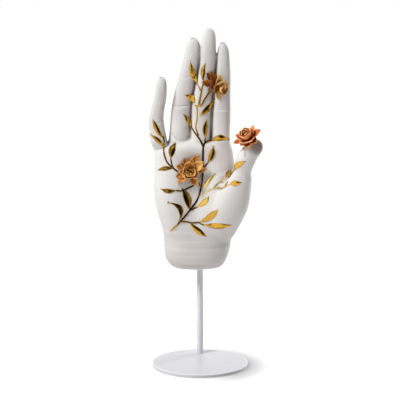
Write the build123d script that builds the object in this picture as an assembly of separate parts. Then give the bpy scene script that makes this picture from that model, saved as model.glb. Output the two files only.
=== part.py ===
"""Open hand sculpture with gilt sprays and three open flowers, carried on a rod and a round foot.

Millimetres. Origin at the centre of the foot's underside, +Z up, the palm faces -Y, +X is the thumb side.
"""
import math
import os

from build123d import *

# Foot, rod and what holds them together
FOOT_DIAMETER = 100.0
FOOT_THICKNESS = 3.4
FOOT_EDGE = 0.5
PAD_THICKNESS = 0.6
PAD_MARGIN = 2.5
ROD_DIAMETER = 7.0
ROD_SETBACK = 34.0
THREAD_DIAMETER = 4.0
THREAD_CLEARANCE = 0.05
SCREW_HEAD_DIAMETER = 7.6
SCREW_HEAD_HEIGHT = 2.0
SCREW_GRIP = 11.0
SCREW_KEY_SIZE = 2.5
SCREW_KEY_DEPTH = 1.2
STUD_GRIP = 12.0

# What the wrist holds
INSERT_DIAMETER = 9.0
INSERT_LENGTH = 14.0
INSERT_CLEARANCE = 0.1
WASHER_DIAMETER = 11.0
WASHER_THICKNESS = 0.8
PLUG_DIAMETER = 24.0

# Hand
HAND_LIFT = 98.0
PALM_HEIGHT = 135.0
PALM_BREADTH = 100.0
PALM_DEPTH = 50.0
CUP_BREADTH = 34.0
CUP_ACROSS = -6.0
WALL = 4.5

PINKY_LENGTH = 71.0
PINKY_BREADTH = 17.6
PINKY_ACROSS = -42.0
PINKY_SETBACK = 15.0
PINKY_LEAN = 12.0
RING_LENGTH = 110.4
RING_BREADTH = 22.4
RING_ACROSS = -22.0
RING_SETBACK = 19.5
RING_LEAN = 12.0
MIDDLE_LENGTH = 121.1
MIDDLE_BREADTH = 22.0
MIDDLE_ACROSS = 0.3
MIDDLE_SETBACK = 17.5
MIDDLE_LEAN = 15.0
INDEX_LENGTH = 106.2
INDEX_BREADTH = 21.0
INDEX_ACROSS = 21.4
INDEX_SETBACK = 16.0
INDEX_LEAN = 12.0
THUMB_BREADTH = 20.0
THUMB_TIP_LENGTH = 12.5

# Gilt relief
RELIEF = 0.8
STEM_BREADTH = 1.8
RELIEF_REACH = 14.0
THUMB_TIP_RELIEF_REACH = -5.0
RELIEF_FRONT = 40.0

# Flowers
PALM_FLOWER_RADIUS = 16.0
FINGER_FLOWER_RADIUS = 14.5
THUMB_FLOWER_RADIUS = 14.5
PETAL_THICKNESS = 0.7
HUB_DIAMETER = 5.6
HUB_THICKNESS = 0.8
CALYX_DIAMETER = 7.6
CALYX_STANDOFF = 2.2
CALYX_SIDES = 8

SECTION_POINTS = 16
SQUARE_share = 0.84
DOME_ANGLES = (34, 62, 83)
DOME_SQUARE_share = 0.85

# Palm sections: height of PALM_HEIGHT, left and right of half PALM_BREADTH,
# front, back and cup of PALM_DEPTH
PALM_SECTION_shares = (
    (0.000, -0.34, 0.24, 0.42, 0.88, 0.00),
    (0.012, -0.52, 0.37, 0.30, 0.94, 0.00),
    (0.037, -0.63, 0.49, 0.19, 0.99, 0.00),
    (0.080, -0.705, 0.56, 0.12, 1.02, 0.00),
    (0.150, -0.75, 0.625, 0.09, 1.02, 0.00),
    (0.250, -0.762, 0.655, 0.09, 1.00, 0.01),
    (0.340, -0.80, 0.68, 0.03, 0.97, 0.05),
    (0.440, -0.875, 0.72, -0.05, 0.92, 0.14),
    (0.560, -0.94, 0.76, -0.09, 0.85, 0.22),
    (0.700, -0.955, 0.775, -0.07, 0.79, 0.22),
    (0.820, -0.95, 0.735, 0.00, 0.74, 0.15),
    (0.910, -0.95, 0.695, 0.04, 0.70, 0.07),
    (0.960, -0.90, 0.67, 0.06, 0.67, 0.03),
    (0.990, -0.77, 0.64, 0.09, 0.64, 0.01),
    (1.030, -0.62, 0.59, 0.18, 0.58, 0.00),
    (1.050, -0.54, 0.50, 0.27, 0.50, 0.00),
)

# Fingers: stations of the length above the knuckle line, sway of the length, breadth of the root breadth
STATION_shares = (-0.16, 0.0, 0.17, 0.34, 0.51, 0.68, 0.86)
PINKY_SWAY_shares = (0.03, 0.0, -0.028, -0.045, -0.027, 0.013, 0.032, 0.042)
PINKY_BREADTH_shares = (0.70, 0.97, 0.96, 0.89, 0.81, 0.735, 0.655)
RING_SWAY_shares = (0.0, 0.0, 0.014, 0.027, 0.054, 0.092, 0.128, 0.146)
RING_BREADTH_shares = (0.95, 1.0, 0.95, 0.92, 0.855, 0.795, 0.71)
MIDDLE_SWAY_shares = (0.0, 0.0, 0.006, 0.015, 0.037, 0.061, 0.070, 0.081)
MIDDLE_BREADTH_shares = (0.95, 1.0, 0.97, 0.975, 0.875, 0.78, 0.69)
INDEX_SWAY_shares = (0.0, 0.0, 0.003, 0.007, 0.014, 0.020, 0.024, 0.021)
INDEX_BREADTH_shares = (0.95, 1.0, 0.925, 0.90, 0.815, 0.757, 0.61)
DEPTH_share = 0.92
PAD_share = 0.08
PHALANX_share = 0.34

# Thumb and its mound: across of PALM_BREADTH, depth of PALM_DEPTH, height of PALM_HEIGHT,
# then breadth and depth of THUMB_BREADTH
THUMB_SECTION_shares = (
    (0.10, 0.54, 0.165, 0.30, 0.30),
    (0.16, 0.48, 0.250, 0.60, 0.60),
    (0.22, 0.38, 0.345, 0.80, 0.78),
    (0.27, 0.26, 0.460, 0.93, 0.88),
    (0.325, 0.15, 0.570, 0.95, 0.86),
    (0.38, 0.04, 0.680, 0.78, 0.73),
    (0.425, -0.06, 0.785, 0.56, 0.58),
    (0.455, -0.15, 0.880, 0.495, 0.50),
    (0.493, -0.22, 0.945, 0.48, 0.465),
    (0.535, -0.26, 0.990, 0.45, 0.42),
)
THUMB_AIM_shares = (0.55, -0.25, 0.66)

# The palm's section that the hollow's floor follows, and how far up the hollow goes
HOLLOW_FLOOR_SECTION = 2
HOLLOW_TOP_share = 0.95

# Stems: breadth as a share of STEM_BREADTH at each end, then points, across of PALM_BREADTH
# and up of PALM_HEIGHT above the wrist
MAIN_STEM_shares = (
    ((1.1, 1.2), ((-0.315, 0.325), (-0.207, 0.411), (-0.109, 0.497), (-0.029, 0.577), (0.013, 0.681),
                  (0.027, 0.774), (0.030, 0.89), (0.031, 1.003))),
    ((1.1, 0.8), ((0.031, 0.99), (0.001, 1.044), (-0.05, 1.095), (-0.088, 1.14))),
    ((1.1, 0.8), ((0.03, 0.985), (0.052, 1.022), (0.09, 1.034), (0.125, 1.039))),
    ((0.7, 0.7), ((0.058, 1.02), (0.05, 1.036), (0.055, 1.06))),
    ((0.8, 0.7), ((0.029, 0.80), (0.047, 0.834), (0.083, 0.87))),
    ((0.8, 0.7), ((-0.12, 0.49), (-0.08, 0.503), (-0.027, 0.524))),
    ((0.9, 0.6), ((0.015, 0.675), (-0.002, 0.69), (-0.009, 0.712))),
)
FINGER_STEM_shares = (
    ((0.8, 1.3), ((-0.014, 1.077), (-0.035, 1.112), (-0.046, 1.152), (-0.035, 1.207), (-0.034, 1.26),
                  (-0.038, 1.308))),
    ((1.0, 1.0), ((-0.055, 1.309), (-0.02, 1.311), (0.02, 1.317))),
    ((1.2, 0.8), ((-0.014, 1.31), (0.001, 1.376), (0.012, 1.423), (0.031, 1.486))),
    ((0.8, 0.7), ((0.011, 1.415), (-0.011, 1.455), (-0.035, 1.49))),
    ((1.2, 0.8), ((0.012, 1.31), (0.048, 1.363), (0.078, 1.399), (0.094, 1.45))),
    ((0.7, 0.6), ((0.05, 1.36), (0.087, 1.398), (0.124, 1.441))),
)
PINKY_STEM_shares = (
    ((1.2, 0.8), ((-0.23, 0.80), (-0.286, 0.833), (-0.338, 0.871), (-0.368, 0.928), (-0.375, 0.985),
                  (-0.37, 1.03), (-0.38, 1.075))),
    ((0.9, 0.7), ((-0.28, 0.826), (-0.292, 0.86), (-0.303, 0.905))),
)
THUMB_STEM_shares = (
    ((1.1, 0.7), ((0.018, 0.605), (0.081, 0.653), (0.139, 0.674), (0.231, 0.691), (0.31, 0.722))),
    ((0.9, 0.8), ((0.135, 0.671), (0.165, 0.703), (0.212, 0.732), (0.268, 0.768))),
    ((0.8, 0.6), ((0.326, 0.822), (0.335, 0.83), (0.346, 0.838))),
    ((0.6, 0.5), ((0.24, 0.692), (0.262, 0.715), (0.285, 0.742))),
)
PALM_TWIG_shares = (
    ((0.8, 1.0), ((-0.25, 0.659), (-0.207, 0.654), (-0.161, 0.661), (-0.109, 0.674), (-0.05, 0.692))),
)
WRIST_TWIG_shares = (
    ((1.0, 0.8), ((-0.205, 0.411), (-0.145, 0.411), (-0.097, 0.402), (-0.05, 0.401), (0.0, 0.405))),
    ((0.8, 0.6), ((-0.01, 0.405), (0.012, 0.392), (0.045, 0.386))),
)

# Leaves: root across and up, tip across and up, breadth and bow to the left of the growth, of the length
LEAF_shares = {
    "leaf_pinky_long": (-0.376, 1.052, -0.486, 1.212, 0.22, 0.06),
    "leaf_pinky_outer": (-0.378, 0.985, -0.516, 1.086, 0.24, -0.08),
    "leaf_pinky_inner": (-0.302, 0.900, -0.247, 1.022, 0.40, 0.08),
    "leaf_palm_edge": (-0.284, 0.824, -0.442, 0.802, 0.31, -0.09),
    "leaf_palm_high": (0.080, 0.866, 0.139, 0.998, 0.34, -0.05),
    "leaf_palm_side": (-0.248, 0.659, -0.409, 0.668, 0.31, 0.08),
    "leaf_palm_middle": (-0.109, 0.503, -0.193, 0.682, 0.28, -0.07),
    "leaf_palm_sickle": (-0.221, 0.406, -0.336, 0.568, 0.19, -0.34),
    "leaf_palm_short": (-0.035, 0.520, 0.096, 0.617, 0.29, -0.10),
    "leaf_wrist_upper": (-0.012, 0.404, 0.192, 0.524, 0.24, -0.08),
    "leaf_wrist_long": (0.034, 0.387, 0.331, 0.392, 0.22, -0.04),
    "leaf_wrist_lower": (-0.105, 0.400, 0.070, 0.291, 0.29, -0.05),
    "leaf_thumb_small": (0.264, 0.765, 0.332, 0.832, 0.38, 0.05),
    "leaf_thumb_tip": (0.342, 0.835, 0.463, 0.912, 0.36, 0.08),
    "leaf_thumb_side": (0.306, 0.721, 0.429, 0.740, 0.46, 0.04),
    "leaf_palm_slender": (0.026, 0.652, 0.156, 0.787, 0.19, 0.05),
    "leaf_ring_root": (-0.086, 1.130, -0.173, 1.245, 0.27, -0.06),
    "leaf_index_root": (0.120, 1.034, 0.300, 1.046, 0.38, 0.16),
    "leaf_middle_root": (0.055, 1.053, 0.072, 1.206, 0.27, 0.05),
    "leaf_middle_joint": (-0.005, 1.233, 0.148, 1.353, 0.28, -0.05),
    "leaf_ring_joint": (-0.050, 1.330, -0.161, 1.392, 0.52, -0.10),
    "leaf_ring_high": (-0.033, 1.482, -0.099, 1.655, 0.27, 0.05),
    "leaf_middle_high": (0.031, 1.500, 0.056, 1.640, 0.25, 0.08),
}

# Flowers: across of PALM_BREADTH, up of PALM_HEIGHT and a depth of PALM_DEPTH within the hand there
PALM_FLOWER_SEAT_shares = (-0.100, 0.800, 0.28)
PALM_FLOWER_AXIS = (-0.10, -0.96, 0.18)
FINGER_FLOWER_SEAT_shares = (0.145, 1.470, 0.28)
FINGER_FLOWER_AXIS = (0.44, -0.87, -0.20)
THUMB_FLOWER_SEAT_shares = (0.520, 1.055, -0.26)
THUMB_FLOWER_AXIS = (-0.38, -0.52, 0.77)

# Rings of a flower: name, petals, root of the hub's radius, length and breadth of the flower's radius,
# rise in degrees, start spin
RING_shares = (
    ("outer_petals", 8, 0.30, 0.95, 0.54, 14, 0),
    ("middle_petals", 5, 0.55, 0.70, 0.48, 42, 20),
    ("inner_petals", 3, 0.75, 0.46, 0.36, 68, 50),
)
PETAL_STATION_shares = (0.10, 0.42, 0.76, 1.00)
PETAL_BREADTH_shares = (0.26, 0.84, 0.90, 0.10)
PETAL_CURL_shares = (0.0, 0.02, 0.09, 0.22)
PETAL_CUP_share = 0.20
BUD_SIDES = 5
BUD_shares = ((0.0, 0.08), (0.14, 0.115), (0.30, 0.10), (0.40, 0.03))


def ring_outline(left, right, front, back, cup=0.0):
    """Closed smooth outline of a limb's section, hollowed at the front by the cup."""
    middle_x, half_x = (left + right) / 2, (right - left) / 2
    middle_y, half_y = (front + back) / 2, (back - front) / 2
    points = []
    for k in range(SECTION_POINTS):
        angle = 2 * math.pi * k / SECTION_POINTS
        c, s = math.cos(angle), math.sin(angle)
        x = middle_x + half_x * math.copysign(abs(c) ** SQUARE_share, c)
        y = middle_y + half_y * math.copysign(abs(s) ** SQUARE_share, s)
        if s < 0 and cup:
            fade = math.exp(-((x - CUP_ACROSS) / (CUP_BREADTH / 2)) ** 2)
            y += cup * fade * min(1, -s)
        points.append((x, y))
    return make_face(Spline(*points, periodic=True))


def palm(rows, grow):
    """Palm and wrist as one loft through the rows given, grown or shrunk all round."""
    sections = []
    for i, (height, left, right, front, back, cup) in enumerate(rows):
        z = HAND_LIFT + height * PALM_HEIGHT
        if i == 0:
            z -= grow
        if i == len(rows) - 1:
            z += grow
        face = ring_outline(left * PALM_BREADTH / 2 - grow, right * PALM_BREADTH / 2 + grow,
                            front * PALM_DEPTH - grow, back * PALM_DEPTH + grow, cup * PALM_DEPTH)
        sections.append(Pos(0, 0, z) * face)
    return loft(sections)


def finger(length, breadth, across, setback, lean, sway, breadths, grow):
    """One finger as a loft through level sections with a pad on each bone and a domed tip."""
    root = HAND_LIFT + PALM_HEIGHT
    sections = []
    for t, shift, width in zip(STATION_shares, sway, breadths):
        half = width * breadth / 2 + grow
        deep = width * breadth / 2 * DEPTH_share + grow
        pad = max(0, math.sin(math.pi * t / PHALANX_share)) ** 2 * PAD_share * breadth / 2
        place = Pos(across + shift * length, setback - lean * t, root + t * length)
        sections.append(place * ring_outline(-half, half, -deep - pad, deep))
    start = STATION_shares[-1]
    for angle in DOME_ANGLES:
        up, out = math.sin(math.radians(angle)), math.cos(math.radians(angle)) ** DOME_SQUARE_share
        t = start + (1 - start) * up
        half = (breadths[-1] * breadth / 2 + grow) * out
        shift = sway[-2] + (sway[-1] - sway[-2]) * up
        place = Pos(across + shift * length, setback - lean * t, root + t * length + grow * up)
        deep = half * DEPTH_share
        sections.append(place * ring_outline(-half, half, -deep, deep))
    return loft(sections)


def thumb(grow):
    """Thumb and the mound at its root, sections square to the bone, with a domed tip."""
    centres = [Vector(a * PALM_BREADTH, d * PALM_DEPTH, HAND_LIFT + h * PALM_HEIGHT)
               for a, d, h, *_ in THUMB_SECTION_shares]
    aim = Vector(*THUMB_AIM_shares).normalized()
    ends = [centres[0]] + centres + [centres[-1] + aim * THUMB_TIP_LENGTH]
    sections = []
    for i, (*_, broad, deep) in enumerate(THUMB_SECTION_shares):
        along = (ends[i + 2] - ends[i]).normalized()
        plane = Plane(origin=centres[i], x_dir=Vector(1, 0, 0) - along * along.X, z_dir=along)
        half, thick = broad * THUMB_BREADTH + grow, deep * THUMB_BREADTH + grow
        sections.append(plane * ring_outline(-half, half, -thick, thick))
    for angle in DOME_ANGLES:
        up, out = math.sin(math.radians(angle)), math.cos(math.radians(angle)) ** DOME_SQUARE_share
        plane = Plane(origin=centres[-1] + aim * (THUMB_TIP_LENGTH + grow) * up,
                      x_dir=Vector(1, 0, 0) - aim * aim.X, z_dir=aim)
        sections.append(plane * ring_outline(-half * out, half * out, -thick * out, thick * out))
    return loft(sections)


def hand_form(grow):
    """The whole hand as one solid, grown by the relief given."""
    fingers = (
        (PINKY_LENGTH, PINKY_BREADTH, PINKY_ACROSS, PINKY_SETBACK, PINKY_LEAN,
         PINKY_SWAY_shares, PINKY_BREADTH_shares),
        (RING_LENGTH, RING_BREADTH, RING_ACROSS, RING_SETBACK, RING_LEAN,
         RING_SWAY_shares, RING_BREADTH_shares),
        (MIDDLE_LENGTH, MIDDLE_BREADTH, MIDDLE_ACROSS, MIDDLE_SETBACK, MIDDLE_LEAN,
         MIDDLE_SWAY_shares, MIDDLE_BREADTH_shares),
        (INDEX_LENGTH, INDEX_BREADTH, INDEX_ACROSS, INDEX_SETBACK, INDEX_LEAN,
         INDEX_SWAY_shares, INDEX_BREADTH_shares),
    )
    form = palm(PALM_SECTION_shares, grow)
    for sizes in fingers:
        form = form + finger(*sizes, grow)
    return form + thumb(grow)


def ribbon(breadths, points):
    """Tapering band along a smooth line, drawn in the plane of the palm."""
    line = Spline(*[(a * PALM_BREADTH, u * PALM_HEIGHT) for a, u in points])
    left, right = [], []
    steps = len(points)
    for k in range(steps):
        t = k / (steps - 1)
        at, along = line @ t, line % t
        half = (breadths[0] + (breadths[1] - breadths[0]) * t) * STEM_BREADTH / 2
        across = Vector(-along.Y, along.X)
        left.append(at + across * half)
        right.append(at - across * half)
    sides = [Spline(*left), Line(left[-1], right[-1]), Spline(*reversed(right)), Line(right[0], left[0])]
    return make_face(sides)


def leaf_outline(root_across, root_up, tip_across, tip_up, broad, bow):
    """Leaf between two arcs, bowed to one side."""
    root = Vector(root_across * PALM_BREADTH, root_up * PALM_HEIGHT)
    tip = Vector(tip_across * PALM_BREADTH, tip_up * PALM_HEIGHT)
    along = tip - root
    side = Vector(-along.Y, along.X)
    middle = root + along / 2
    left = ThreePointArc(root, middle + side * (bow + broad / 2), tip)
    right = ThreePointArc(tip, middle + side * (bow - broad / 2), root)
    return make_face([left, right])


def relief(outline, skin, reach):
    """The part of the skin over the palm that lies within a drawn outline, as far back as the reach."""
    back = Plane(origin=(0, reach, HAND_LIFT), x_dir=(1, 0, 0), z_dir=(0, -1, 0))
    pieces = (back * extrude(outline, reach + RELIEF_FRONT, dir=(0, 0, 1))) & skin
    return max(pieces.solids(), key=lambda solid: solid.volume)


def flat_loft(sections):
    """Ruled loft through like sections, whose strips are flat, as a solid of plane faces."""
    strips = loft(sections, ruled=True).faces()
    return Solid(Shell([Face(strip.outer_wire()) for strip in strips]))


def petal(length, breadth):
    """One petal along +X, cupped across and curled up towards its tip."""
    sections = []
    for r, broad, curl in zip(PETAL_STATION_shares, PETAL_BREADTH_shares, PETAL_CURL_shares):
        half, z = broad * breadth / 2, curl * length
        lift = half * PETAL_CUP_share
        under = [(-half, z + lift), (0, z), (half, z + lift)]
        over = [(y, h + PETAL_THICKNESS) for y, h in reversed(under)]
        plane = Plane(origin=(r * length, 0, 0), x_dir=(0, 1, 0), z_dir=(1, 0, 0))
        sections.append(plane * make_face(Polyline(*under, *over, close=True)))
    return flat_loft(sections)


def flower_parts(radius, frame, form):
    """Petal rings of one flower, stacked up the frame's axis, and its bud, each trimmed by what it wraps."""
    parts = {}
    for level, (name, count, root, reach, broad, rise, spin) in enumerate(RING_shares):
        seat = Pos(0, 0, level * HUB_THICKNESS)
        lean = Pos(root * HUB_DIAMETER / 2, 0, 0) * Rot(0, -rise, 0)
        one = seat * Rot(0, 0, spin) * lean * petal(reach * radius, broad * radius)
        hub = seat * extrude(RegularPolygon(HUB_DIAMETER / 2, CALYX_SIDES), HUB_THICKNESS)
        parts[name] = frame * (hub + [Rot(0, 0, k * 360 / count) * one for k in range(count)])
    foot = len(RING_shares) * HUB_THICKNESS
    sections = [Pos(0, 0, foot + up * radius) * RegularPolygon(out * radius, BUD_SIDES)
                for up, out in BUD_shares]
    parts["bud"] = frame * flat_loft(sections) - form
    wrapped = parts["bud"]
    for name, *_ in reversed(RING_shares):
        whole = parts[name]
        parts[name] = max((whole - wrapped - form).solids(), key=lambda solid: solid.volume)
        wrapped = wrapped + whole
    return parts


def surface_seat(form, place):
    """Where the front of the form lies over a place on the palm or a finger."""
    inside = Vector(place[0] * PALM_BREADTH, place[2] * PALM_DEPTH, HAND_LIFT + place[1] * PALM_HEIGHT)
    line = Edge.make_line(inside, inside - Vector(0, PALM_DEPTH, 0)) & form
    return min((Vector(*v) for v in line.vertices()), key=lambda point: point.Y)


def stand():
    """Foot, pad, rod, screws and what the wrist holds."""
    top = PAD_THICKNESS + FOOT_THICKNESS
    rod_top = HAND_LIFT - WASHER_THICKNESS
    hole = THREAD_DIAMETER / 2 + THREAD_CLEARANCE
    at_rod = Pos(0, ROD_SETBACK, 0)
    parts = {}
    parts["foot_pad"] = extrude(Circle(FOOT_DIAMETER / 2 - PAD_MARGIN), PAD_THICKNESS)

    disc = Pos(0, 0, PAD_THICKNESS) * extrude(Circle(FOOT_DIAMETER / 2), FOOT_THICKNESS)
    disc = chamfer(disc.edges().filter_by(GeomType.CIRCLE), FOOT_EDGE)
    head_radius = SCREW_HEAD_DIAMETER / 2
    sink = at_rod * Pos(0, 0, PAD_THICKNESS + SCREW_HEAD_HEIGHT / 2) * Cone(
        head_radius, THREAD_DIAMETER / 2, SCREW_HEAD_HEIGHT)
    shank_hole = at_rod * Pos(0, 0, PAD_THICKNESS) * extrude(Circle(hole), FOOT_THICKNESS)
    parts["foot_disc"] = disc - sink - shank_hole

    shank = at_rod * Pos(0, 0, PAD_THICKNESS) * extrude(
        Circle(THREAD_DIAMETER / 2), FOOT_THICKNESS + SCREW_GRIP)
    key = at_rod * Pos(0, 0, PAD_THICKNESS) * extrude(
        RegularPolygon(SCREW_KEY_SIZE / 2, 6, major_radius=False), SCREW_KEY_DEPTH)
    parts["foot_screw"] = sink + shank - key

    rod = at_rod * Pos(0, 0, top) * extrude(Circle(ROD_DIAMETER / 2), rod_top - top)
    rod = rod - at_rod * Pos(0, 0, top) * extrude(Circle(hole), SCREW_GRIP)
    rod = rod - at_rod * Pos(0, 0, rod_top - STUD_GRIP) * extrude(Circle(hole), STUD_GRIP)
    parts["stand_rod"] = rod
    stud_length = STUD_GRIP + WASHER_THICKNESS + INSERT_LENGTH
    parts["wrist_stud"] = at_rod * Pos(0, 0, rod_top - STUD_GRIP) * extrude(
        Circle(THREAD_DIAMETER / 2), stud_length)

    washer = extrude(Circle(WASHER_DIAMETER / 2) - Circle(hole), WASHER_THICKNESS)
    parts["wrist_washer"] = at_rod * Pos(0, 0, rod_top) * washer

    bush = extrude(Circle(INSERT_DIAMETER / 2) - Circle(hole), INSERT_LENGTH)
    parts["wrist_insert"] = at_rod * Pos(0, 0, HAND_LIFT) * bush
    return parts


def main():
    """Build every node and write it out."""
    os.makedirs("parts", exist_ok=True)
    parts = stand()
    at_rod = Pos(0, ROD_SETBACK, 0)

    form = hand_form(0)
    floor = (0.0, *PALM_SECTION_shares[HOLLOW_FLOOR_SECTION][1:])
    above = [row for row in PALM_SECTION_shares[HOLLOW_FLOOR_SECTION + 1:] if row[0] < HOLLOW_TOP_share]
    hollow = palm([floor, *above], -WALL)
    way_in = at_rod * Pos(0, 0, HAND_LIFT) * extrude(
        Circle(INSERT_DIAMETER / 2 + INSERT_CLEARANCE), INSERT_LENGTH)
    parts["hand_shell"] = form - hollow - way_in

    plug = at_rod * Pos(0, 0, HAND_LIFT) * extrude(Circle(PLUG_DIAMETER / 2), INSERT_LENGTH)
    parts["wrist_plug"] = (plug & hollow) - way_in

    skin = hand_form(RELIEF) - form
    taken = Sketch()
    stems = {
        "stem_main": MAIN_STEM_shares, "stem_fingers": FINGER_STEM_shares, "stem_pinky": PINKY_STEM_shares,
        "stem_thumb": THUMB_STEM_shares, "twig_palm": PALM_TWIG_shares, "twig_wrist": WRIST_TWIG_shares,
    }
    for name, bands in stems.items():
        outline = Sketch()
        for breadths, points in bands:
            outline = outline + ribbon(breadths, points)
        parts[name] = relief(outline - taken, skin, RELIEF_REACH)
        taken = taken + outline
    for name, row in LEAF_shares.items():
        outline = leaf_outline(*row)
        reach = THUMB_TIP_RELIEF_REACH if name == "leaf_thumb_tip" else RELIEF_REACH
        parts[name] = relief(outline - taken, skin, reach)
        taken = taken + outline

    flowers = {
        "palm_flower": (PALM_FLOWER_RADIUS, PALM_FLOWER_SEAT_shares, PALM_FLOWER_AXIS),
        "finger_flower": (FINGER_FLOWER_RADIUS, FINGER_FLOWER_SEAT_shares, FINGER_FLOWER_AXIS),
        "thumb_flower": (THUMB_FLOWER_RADIUS, THUMB_FLOWER_SEAT_shares, THUMB_FLOWER_AXIS),
    }
    for name, (radius, place, axis) in flowers.items():
        way = Vector(*axis).normalized()
        across = Vector(1, 0, 0) - way * way.X
        seat = surface_seat(form, place)
        depth = CALYX_DIAMETER / 2
        stalk = extrude(RegularPolygon(CALYX_DIAMETER / 2, CALYX_SIDES), depth + CALYX_STANDOFF)
        parts[name + "_calyx"] = Plane(origin=seat - way * depth, x_dir=across, z_dir=way) * stalk - form
        frame = Plane(origin=seat + way * CALYX_STANDOFF, x_dir=across, z_dir=way)
        for piece, solid in flower_parts(radius, frame, form).items():
            parts[name + "_" + piece] = solid
    # The finger flower's lowest petals rest on the stem
    parts["finger_flower_outer_petals"] = parts["finger_flower_outer_petals"] - parts["stem_fingers"]

    for name, solid in parts.items():
        export_step(solid, f"parts/{name}.step")


main()
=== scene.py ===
"""Looks of the open ceramic hand with gilt sprays and three blossoms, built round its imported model.

Metres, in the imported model's frame: origin at the centre of the foot's underside, +Z up, the palm faces -Y.
"""

import math
import random

import bmesh
import bpy
import numpy as np
from bpy.props import FloatProperty, FloatVectorProperty, IntProperty, PointerProperty
from mathutils import Matrix, Vector
from mathutils.bvhtree import BVHTree


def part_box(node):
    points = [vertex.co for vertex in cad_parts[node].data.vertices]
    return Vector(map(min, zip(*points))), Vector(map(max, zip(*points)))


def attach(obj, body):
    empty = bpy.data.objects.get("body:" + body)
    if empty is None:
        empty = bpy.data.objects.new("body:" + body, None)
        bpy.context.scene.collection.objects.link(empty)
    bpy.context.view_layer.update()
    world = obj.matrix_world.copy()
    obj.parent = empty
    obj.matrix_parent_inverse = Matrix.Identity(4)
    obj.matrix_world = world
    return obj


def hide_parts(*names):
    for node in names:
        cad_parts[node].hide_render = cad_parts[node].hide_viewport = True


bl_info = {
    "name": "Blossom hand",
    "version": (1, 0, 0),
    "blender": (4, 5, 0),
    "location": "3D View > Sidebar > Blossom hand",
    "description": "Models a porcelain hand with gilt sprays and three blossoms on its stand",
    "category": "Add Mesh",
}

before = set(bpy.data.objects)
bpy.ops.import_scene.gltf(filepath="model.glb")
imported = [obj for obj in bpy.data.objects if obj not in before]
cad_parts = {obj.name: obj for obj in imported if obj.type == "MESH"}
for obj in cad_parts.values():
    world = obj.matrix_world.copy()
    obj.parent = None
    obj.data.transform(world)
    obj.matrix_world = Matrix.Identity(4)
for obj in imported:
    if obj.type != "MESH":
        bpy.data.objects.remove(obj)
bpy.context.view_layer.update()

MM = 0.001
ROOT_BODY = "root"

# The drawing plane of the gilt sprays: across of the palm's breadth, up of its height above the wrist
PALM_BREADTH = 100 * MM
PALM_HEIGHT = 135 * MM
PALM_DEPTH = 50 * MM
HAND_LIFT = 98 * MM
FOOT_RADIUS = 50 * MM
# What is cut away round the bore under the wrist, with room to spare
BORE_REACH = 4.8 * MM
BORE_DEPTH = 6 * MM
# Vertices that count as one
SAME_PLACE = 0.002 * MM
SAME_LEAF_PLACE = 0.01 * MM
SAME_PETAL_PLACE = 0.02 * MM
# Heights over which the porcelain is painted darker towards the fingertips as shade, and over which the painted shade
# and brush bands come in at the wrist
TIP_SHADE_HEIGHTS = (236 * MM, 276 * MM)
WRIST_FADE = (HAND_LIFT + 55 * MM, HAND_LIFT + 30 * MM)
# Reach of the shade painted in the gaps between the fingers, and in the creases between petals
GAP_REACH = 14 * MM
CREASE_REACH = 5 * MM
# Noise stretched along the wrist's brush strokes, the gold's and the petals', waves of relief on leaf and petal
WRIST_STROKES = (0.22, 0.22, 2.2)
GOLD_STROKES = (1.0, 1.0, 0.5)
PETAL_STROKES = (1.0, 1.0, 0.3)
LEAF_VEINS = 9
PETAL_RAYS = 8
WHITE = (1, 1, 1, 1)
# Cells along and across a nail, a leaf and a petal, and points along a petal's curve
NAIL_GRID = (14, 12)
LEAF_GRID = (26, 10)
PETAL_GRID = (14, 10)
PETAL_STEPS = 24
# Smoothing passes over the whole hand, where the thumb leaves the palm and where the fingers do
EVEN_PASSES = 4
THUMB_ROOT_PASSES = 38
FINGER_ROOT_PASSES = 4
# How soon a pressed line fades in from its ends, how soon it fades where the skin turns away, and how much broader
# than the line its swelling is
LINE_ENDS = 6
LINE_FACING = 1.6
SWELL_SPREAD = 3.2
# Heights between which the thumb leaves the palm, its breadth and depth there, and the same for the fingers' roots
THUMB_ROOT_HEIGHTS = (HAND_LIFT + 12 * MM, HAND_LIFT + 100 * MM)
THUMB_ROOT_LEFT = 2 * MM
THUMB_ROOT_BACK = 45 * MM
FINGER_ROOT_HEIGHTS = (HAND_LIFT + 126 * MM, HAND_LIFT + 142 * MM)
# The furrows that part two fingers, from both sides
FURROW_DEPTH = 2.2 * MM
FURROW_WIDTH = 1.1 * MM
# Share of a nail that lies on its bed, half the angle in degrees that it wraps round the finger, how far it stands
# over the skin and how deep its rims are let in
NAIL_BED = 0.78
NAIL_WRAP = 50
NAIL_STAND = 0.16 * MM
NAIL_SINK = 0.5 * MM
# Angle in radians from which an edge is rounded off
SHARP = 0.8
# Angles in degrees round a stem's section, the range of them that takes the painted dark reflection, and its share
# elsewhere
BAND_ANGLES = (-25, 0, 22, 45, 68, 90, 112, 135, 158, 180, 205)
BAND_TOP = (40, 140)
BAND_SHOULDER = 0.35
# Lift of a flower's root and of its stalk's middle over the skin, the stalk's radii and height and its rounding, and
# the foot and the tone of the cone that carries a raised ring
FLOWER_LIFT = 2.2 * MM
STALK_LIFT = 0.6 * MM
STALK = (3.7 * MM, 2.6 * MM, 4.4 * MM)
STALK_EDGE = 0.5 * MM
CORE_RADIUS = 2.2 * MM
CORE_TONE = -0.9
# Lamps: place and size in metres. Both look at one point
LAMPS = {"key": ((-1.19, -0.94, 1.79), (0.7, 0.9)), "rim": ((1.25, 1.05, 0.75), (0.5, 1.2))}
LAMP_AIM = (0, 0, 0.2)
WAY_TO_LIGHT = (-0.92, -0.18, 0.34)

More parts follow.
